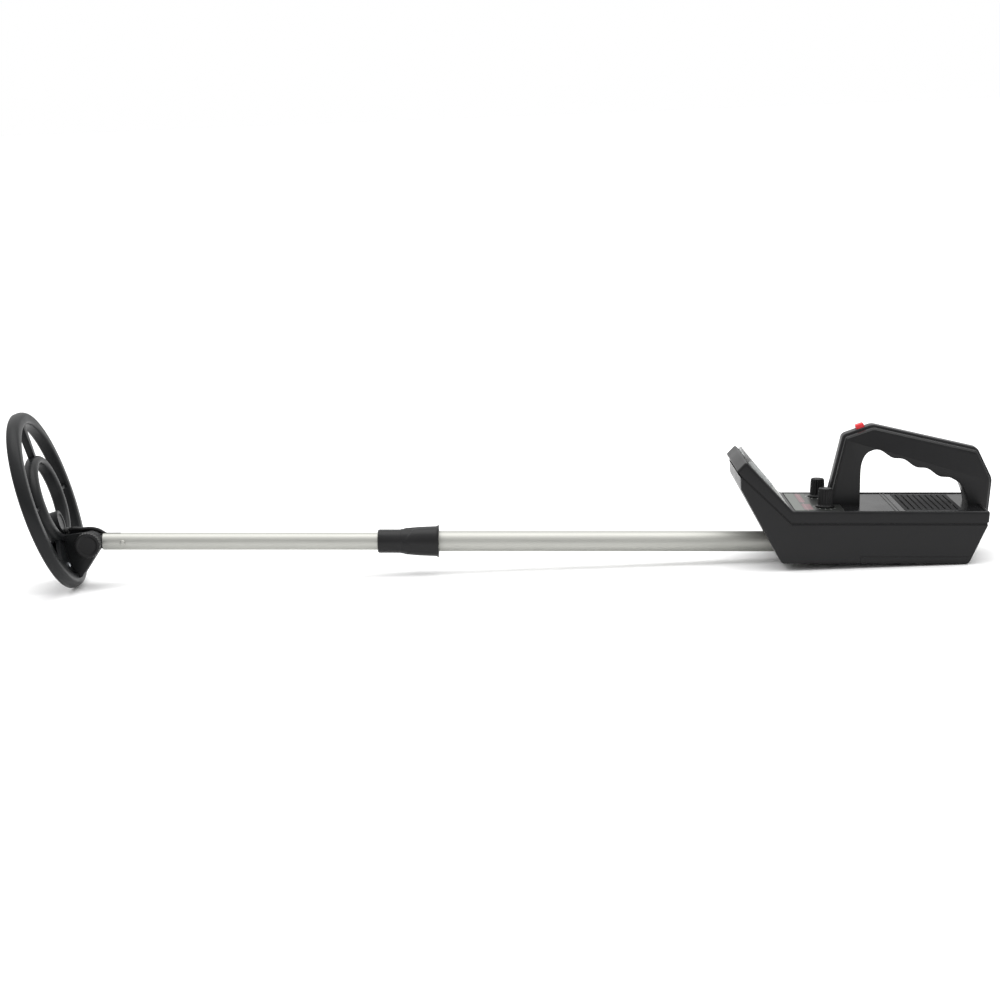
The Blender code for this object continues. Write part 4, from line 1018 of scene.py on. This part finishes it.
def build_lower_case():
    case = case_form("lower_case")
    cut(case, plate("above", parting(-GAP / 2) + [(210.0, 160.0), (-150.0, 160.0)], -70.0, 70.0),
        hollow("inside"), groove_band(),
        brick("door_way", (DOOR_X - GAP, -70.0, -5.0), (200.0, 70.0, DOOR_Z + GAP)),
        peg("stem_hole", 11.4, -80.0, -20.0, "X", (0.0, AXIS_Z), 64))
    for side in (-1.0, 1.0):
        low, high = sorted((side * 13.9, side * 21.5))
        fuse(case, brick("pad", (-1.0, low, FLOOR - 0.6), (11.0, high, 6.0)))
        cut(case, peg("pilot", 1.5, 0.9, 9.0, "Z", (5.0, side * 17.7), 16))
        low, high = sorted((side * 46.0, side * 58.6))
        fuse(case, brick("shelf", (144.0, low, 9.0), (156.5, high, 13.0)))
        cut(case, peg("screw_hole", 1.7, 0.0, 20.0, "Z", (150.0, side * 51.0), 20),
            peg("screw_hole", 1.7, -2.0, 8.0, "Z", (-30.0, side * 50.0), 20),
            peg("screw_sink", 3.4, -2.0, 0.7, "Z", (-30.0, side * 50.0), 24))
    finished(case, "case", "control_box", "lower_case", slot="black_case")


def build_door():
    door = case_form("battery_door")
    cut(door, brick("above", (-150.0, -70.0, DOOR_Z), (210.0, 70.0, 160.0)),
        brick("ahead", (-150.0, -70.0, -5.0), (DOOR_X, 70.0, 20.0)), hollow("inside"))
    # Thumb ridges under the front of the door
    ridges = [brick("ridge", (50.0 + 3.0 * i, -14.0, -1.0), (51.4 + 3.0 * i, 14.0, 0.55))
              for i in range(5)]
    cut(door, *ridges)
    finished(door, "case", "battery_door", "battery_door", slot="black_case")


def build_spine():
    path = eased(SPINE_PATH, SPINE_ROUND, 5, closed=False)
    spine = plate("handle_spine", path + offset(path, 4.6)[::-1], -SPINE_HALF, SPINE_HALF)
    rounded_edges(spine, 1.1, 3, 50.0)
    cut(spine, place_at(brick("button_way", (-5.1, -4.9, -12.0), (5.1, 4.9, 6.0)), BUTTON_PLANE))
    # The spine's paler finish is a painted highlight along the top of the handle
    finished(spine, "spine", "control_box", "handle_spine", slot="black_grip")


def build_panel():
    low, high = PANEL_Z + GAP, PANEL_Z + 0.7
    label = rounded_edges(brick("panel_label", (LABEL_X[0], -LABEL_Y, low),
                                (LABEL_X[1], LABEL_Y, high)), 0.12, 1, 50.0)
    tools = [brick("post_gap", (6.0, -17.2, 50.0), (30.0, 17.2, 60.0))]
    for side in (-1.0, 1.0):
        tools.append(peg("knob_gap", 10.4, 50.0, 60.0, "Z", (KNOB_X, side * KNOB_Y), 64))
    cut(label, *tools)
    finished(label, "label", "control_box", "panel_label", slot="label_print")
    grille = rounded_edges(brick("speaker_grille", (GRILLE_X[0], -GRILLE_Y, 55.3),
                                 (GRILLE_X[1], GRILLE_Y, 56.3)), 0.2, 1, 50.0)
    count = sizes().slots
    pitch = (GRILLE_X[1] - GRILLE_X[0]) / (count + 0.5)
    tools = []
    for i in range(count):
        x, reach, half = GRILLE_X[0] + pitch * (i + 0.75), GRILLE_Y - 4.0, 0.8
        ends = (circle(half, 9, (x, reach - half), 0.0, math.pi)
                + circle(half, 9, (x, half - reach), math.pi, math.pi))
        tools.append(plate("slot", ends, 50.0, 60.0, "Z"))
    cut(grille, *tools)
    finished(grille, "grille", "control_box", "speaker_grille", slot="black_grip")


def build_knobs():
    for name, side in (("left", -1.0), ("right", 1.0)):
        spot, foot = (KNOB_X, side * KNOB_Y), 57.0
        profile = eased([(9.7, 0.0), (9.7, 1.4), (8.4, 1.9), (8.2, 2.6), (7.6, 18.4), (6.7, 20.2),
                         (5.9, 20.2), (5.2, 19.5), (0.0, 19.5), (0.0, 12.4), (3.2, 12.4),
                         (3.2, 0.6), (5.6, 0.6), (5.6, 0.0)],
                        [0.4, 0.4, 0.3, 0.3, 1.2, 0.4, 0.3, 0.4, 0, 0, 0, 0, 0, 0], 3)
        knob = turned("%s_knob" % name, [(r, foot + h) for r, h in profile], "Z", spot,
                      sizes().flutes * 10)
        fluted(knob, "Z", spot, sizes().flutes, 0.75, foot + 2.2, foot + 19.9, 0.9, 1.6)
        finished(knob, "knob", "%s_knob" % name, "%s_knob" % name, degrees=28.0,
                 slot="black_knob")


def build_meter():
    half = METER_HALF
    lens = plate("meter_lens", eased([(-33.0, 0.3), (3.2, 0.3), (3.2, 3.8), (-31.0, 4.6),
                                      (-33.0, 3.4)], [0, 0, 0.7, 0.9, 0.9], 3), -half, half)
    rounded_edges(lens, 0.5, 2, 50.0)
    cut(lens, brick("lens_room", (-31.5, -half + 1.5, -2.0), (1.7, half - 1.5, 2.4)))
    place_at(lens, SLOPE_PLANE)
    finished(lens, "lens", "control_box", "meter_lens", slot="clear_lens")
    # Its side walls are left as sawn, so they scatter light and look white
    lens.data.materials.append(finishes()["frosted"])
    for face in lens.data.polygons:
        if abs(face.normal.y) > 0.6 and abs(face.center.y) > (half - 0.6) * MM:
            face.material_index = 1
    cover = plate("meter_cover", [(3.5, 0.3), (33.0, 0.3), (33.0, 0.9), (3.5, 3.7)], -half, half)
    rounded_edges(cover, 0.4, 3, 50.0)
    lines = [brick("line", (s, -half + 4.0, -1.0 + 3.7 - (s - 3.5) * 0.095),
                   (s + 0.7, half - 4.0, 5.0)) for s in (8.0, 29.0)]
    cut(cover, *lines)
    place_at(cover, SLOPE_PLANE)
    finished(cover, "cover", "control_box", "meter_cover", slot="meter_white")


def helix(name, radius, wire, start, end, turns, axis, matrix=None, centre=(0.0, 0.0)):
    """A coiled wire or lead, one smooth bar from end to end."""
    steps = int(turns * 16)
    points = []
    for i in range(steps + 1):
        angle = 2.0 * math.pi * turns * i / steps
        points.append(PLACES[axis](centre[0] + radius * math.cos(angle),
                                   centre[1] + radius * math.sin(angle),
                                   start + (end - start) * i / steps))
    coil = tube_along(name, points, wire, 3)
    return place_at(coil, matrix) if matrix else coil


def build_wiring():
    lead = helix("coiled_lead", 5.4, 2.1, -357.9, -72.1, 7, "X", centre=(0.0, AXIS_Z))
    finished(lead, "lead", "control_box", "coiled_lead", degrees=60.0, slot="lead_rubber")
    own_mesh(lead)
    spring = helix("button_spring", 2.6, 0.45, -16.2, -9.4, 6, "Z", BUTTON_PLANE)
    finished(spring, "zinc", "control_box", "button_spring", degrees=60.0, slot="steel")
    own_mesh(spring)


def refinish_frame():
    """Finishes of the CAD nodes whose shape is already right."""
    refinish("winding", "transmit_winding", "receive_winding", "moving_coil")
    refinish("tube", "tip_rivet")
    refinish("zinc", "coil_screw_1", "coil_screw_2", "strap_screw_1",
             "strap_screw_2", "case_screw_1", "case_screw_2", "case_screw_3", "case_screw_4",
             "tube_strap", "left_potentiometer", "right_potentiometer",
             "meter_magnet")
    refinish("lead", "lead_gland", "stem_lead", "box_lead", "left_battery_snap",
             "right_battery_snap")
    refinish("nylon", "hinge_bolt", "lock_collet", "stem_bush")
    refinish("rubber", "friction_washer_1", "friction_washer_2")
    refinish("case", "clamp_ferrule", "meter_body", "button_switch")
    refinish("shaft", "left_knob_shaft", "right_knob_shaft")
    refinish("cone", "speaker_cone", "speaker_frame")
    refinish("ferrite", "speaker_magnet")
    refinish("board", "circuit_board")
    refinish("battery", "left_battery", "right_battery")
    refinish("button", "push_button", "meter_needle")
    refinish("dial", "dial_face")


# ---------------------------------------------------------------- stage

def paper_floor(name):
    """Seamless studio paper: matt, with a barely visible fibre."""
    material, tree, shader, place = blank(name)
    fibre = add_node(tree, "ShaderNodeTexNoise", {"Vector": place, "Scale": 1.0 / (30.0 * MM)})
    tree.links.new(tone(tree, fibre.outputs["Fac"], linear("#fbfbfb"), linear("#ffffff")),
                   shader.inputs["Base Color"])
    shader.inputs["Roughness"].default_value = 0.9
    return material


def build_floor():
    """A sheet of pale paper under the box's rear edge and the coil's lower rim."""
    coil_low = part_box("coil_lower_cover")[0].z
    coil_x, box_x = -0.806, 0.156
    tilt = math.atan2(-coil_low, box_x - coil_x)
    clear_selection()
    bpy.ops.mesh.primitive_plane_add(size=1.0)
    floor = bpy.context.object
    floor.name = "floor"
    editing(floor)
    bpy.ops.mesh.subdivide(number_cuts=7)
    done()
    for vertex in floor.data.vertices:
        vertex.co = Vector((vertex.co.x * 60.0, vertex.co.y * 60.0 + 18.0, 0.0))
    floor.matrix_world = (Matrix.Translation((box_x, 0.0, -0.0006))
                          @ Matrix.Rotation(-tilt, 4, "Y"))
    pick(floor)
    bpy.ops.object.transform_apply(location=True, rotation=True, scale=True)
    floor.data.materials.append(paper_floor("studio_paper"))


def add_light(name, place, aim, size, power):
    clear_selection()
    bpy.ops.object.light_add(type="AREA", location=place)
    light = bpy.context.object
    light.name = name
    light.data.shape = "RECTANGLE"
    light.data.size, light.data.size_y = size
    light.data.energy = power
    light.rotation_euler = (Vector(aim) - Vector(place)).to_track_quat("-Z", "Y").to_euler()


def build_lights():
    """A room that brightens towards the ceiling, and a large softbox overhead."""
    world = bpy.data.worlds.new("studio")
    bpy.context.scene.world = world
    world.use_nodes = True
    tree = world.node_tree
    way = add_node(tree, "ShaderNodeTexCoord").outputs["Generated"]
    _, ahead, up = split(tree, way)
    share = calc(tree, "ADD", calc(tree, "MULTIPLY", ahead, 0.12), up)
    glow = add_node(tree, "ShaderNodeMapRange", {"Value": share, "To Min": 0.5, "To Max": 1.6})
    # The wall behind is seen as white, though it lights the object less than the ceiling
    seen = add_node(tree, "ShaderNodeLightPath").outputs["Is Camera Ray"]
    tree.links.new(calc(tree, "MAXIMUM", glow.outputs["Result"], seen),
                   tree.nodes["Background"].inputs["Strength"])
    tree.nodes["Background"].inputs["Color"].default_value = (1.0, 1.0, 1.0, 1.0)
    add_light("top_softbox", (-0.35, 0.1, 2.0), (-0.35, 0.0, 0.0), (3.0, 1.4), 26.0)
    bpy.context.scene.view_settings.view_transform = "Standard"


def build_camera():
    """Level with the stem's near side, a little above it."""
    clear_selection()
    bpy.ops.object.camera_add(location=(-0.344, -2.4102, 0.4927),
                              rotation=(math.radians(79.79), 0.0, 0.0))
    camera = bpy.context.object
    camera.name = "camera"
    camera.data.lens, camera.data.sensor_width = 81.1, 36.0
    bpy.context.scene.camera = camera


# ---------------------------------------------------------------- operators and panel

class Step:
    """An operator that runs its own list of building functions in turn."""
    bl_options = {"REGISTER", "UNDO"}

    def execute(self, context):
        for step in self.work:
            step()
        return {"FINISHED"}


class DETECTOR_OT_coil(Step, bpy.types.Operator):
    """Build the search coil's upper shell and lower cover"""
    bl_idname, bl_label = "detector.coil", "Search coil"
    work = (build_coil_shell, build_coil_cover)


class DETECTOR_OT_hinge(Step, bpy.types.Operator):
    """Build the thumb knob, the stem's tip and the lead over the hinge"""
    bl_idname, bl_label = "detector.hinge", "Coil hinge"
    work = (build_hinge, build_coil_lead)


class DETECTOR_OT_stem(Step, bpy.types.Operator):
    """Build the two tubes and the twist-lock nut"""
    bl_idname, bl_label = "detector.stem", "Stem"
    work = (build_stem,)


class DETECTOR_OT_case(Step, bpy.types.Operator):
    """Build the control box: both halves, the battery door and the handle's spine"""
    bl_idname, bl_label = "detector.case", "Control box"
    work = (build_upper_case, build_lower_case, build_door, build_spine)


class DETECTOR_OT_panel(Step, bpy.types.Operator):
    """Build the label, the speaker grille and the two knobs"""
    bl_idname, bl_label = "detector.panel", "Panel and knobs"
    work = (build_panel, build_knobs)


class DETECTOR_OT_meter(Step, bpy.types.Operator):
    """Build the meter's lens and cover"""
    bl_idname, bl_label = "detector.meter", "Meter"
    work = (build_meter,)


class DETECTOR_OT_wiring(Step, bpy.types.Operator):
    """Wind the coiled lead and the button's spring, and finish the inner parts"""
    bl_idname, bl_label = "detector.wiring", "Wiring and inner parts"
    work = (build_wiring, refinish_frame)


class DETECTOR_OT_stage(Step, bpy.types.Operator):
    """Lay the floor and set up the lights and the camera"""
    bl_idname, bl_label = "detector.stage", "Stage"
    work = (build_floor, build_lights, build_camera)


OPERATORS = (DETECTOR_OT_coil, DETECTOR_OT_hinge, DETECTOR_OT_stem, DETECTOR_OT_case,
             DETECTOR_OT_panel, DETECTOR_OT_meter, DETECTOR_OT_wiring, DETECTOR_OT_stage)


class DETECTOR_PT_panel(bpy.types.Panel):
    """Sizes, colours and building steps of the detector"""
    bl_idname = "DETECTOR_PT_panel"
    bl_label = "Metal detector"
    bl_space_type, bl_region_type, bl_category = "VIEW_3D", "UI", "Detector"

    def draw(self, context):
        layout = self.layout
        for group in (context.scene.detector_sizes, context.scene.detector_colours):
            for name in group.__annotations__:
                layout.prop(group, name)
        for operator in OPERATORS:
            layout.operator(operator.bl_idname)


CLASSES = (DetectorSizes, DetectorColours, *OPERATORS, DETECTOR_PT_panel)


def register():
    for made in CLASSES:
        bpy.utils.register_class(made)
    bpy.types.Scene.detector_sizes = PointerProperty(type=DetectorSizes)
    bpy.types.Scene.detector_colours = PointerProperty(type=DetectorColours)


def unregister():
    del bpy.types.Scene.detector_colours
    del bpy.types.Scene.detector_sizes
    for made in reversed(CLASSES):
        bpy.utils.unregister_class(made)


def main():
    register()
    bpy.ops.detector.coil()
    bpy.ops.detector.hinge()
    bpy.ops.detector.stem()
    bpy.ops.detector.case()
    bpy.ops.detector.panel()
    bpy.ops.detector.meter()
    bpy.ops.detector.wiring()
    bpy.ops.detector.stage()


if __name__ == "__main__":
    main()
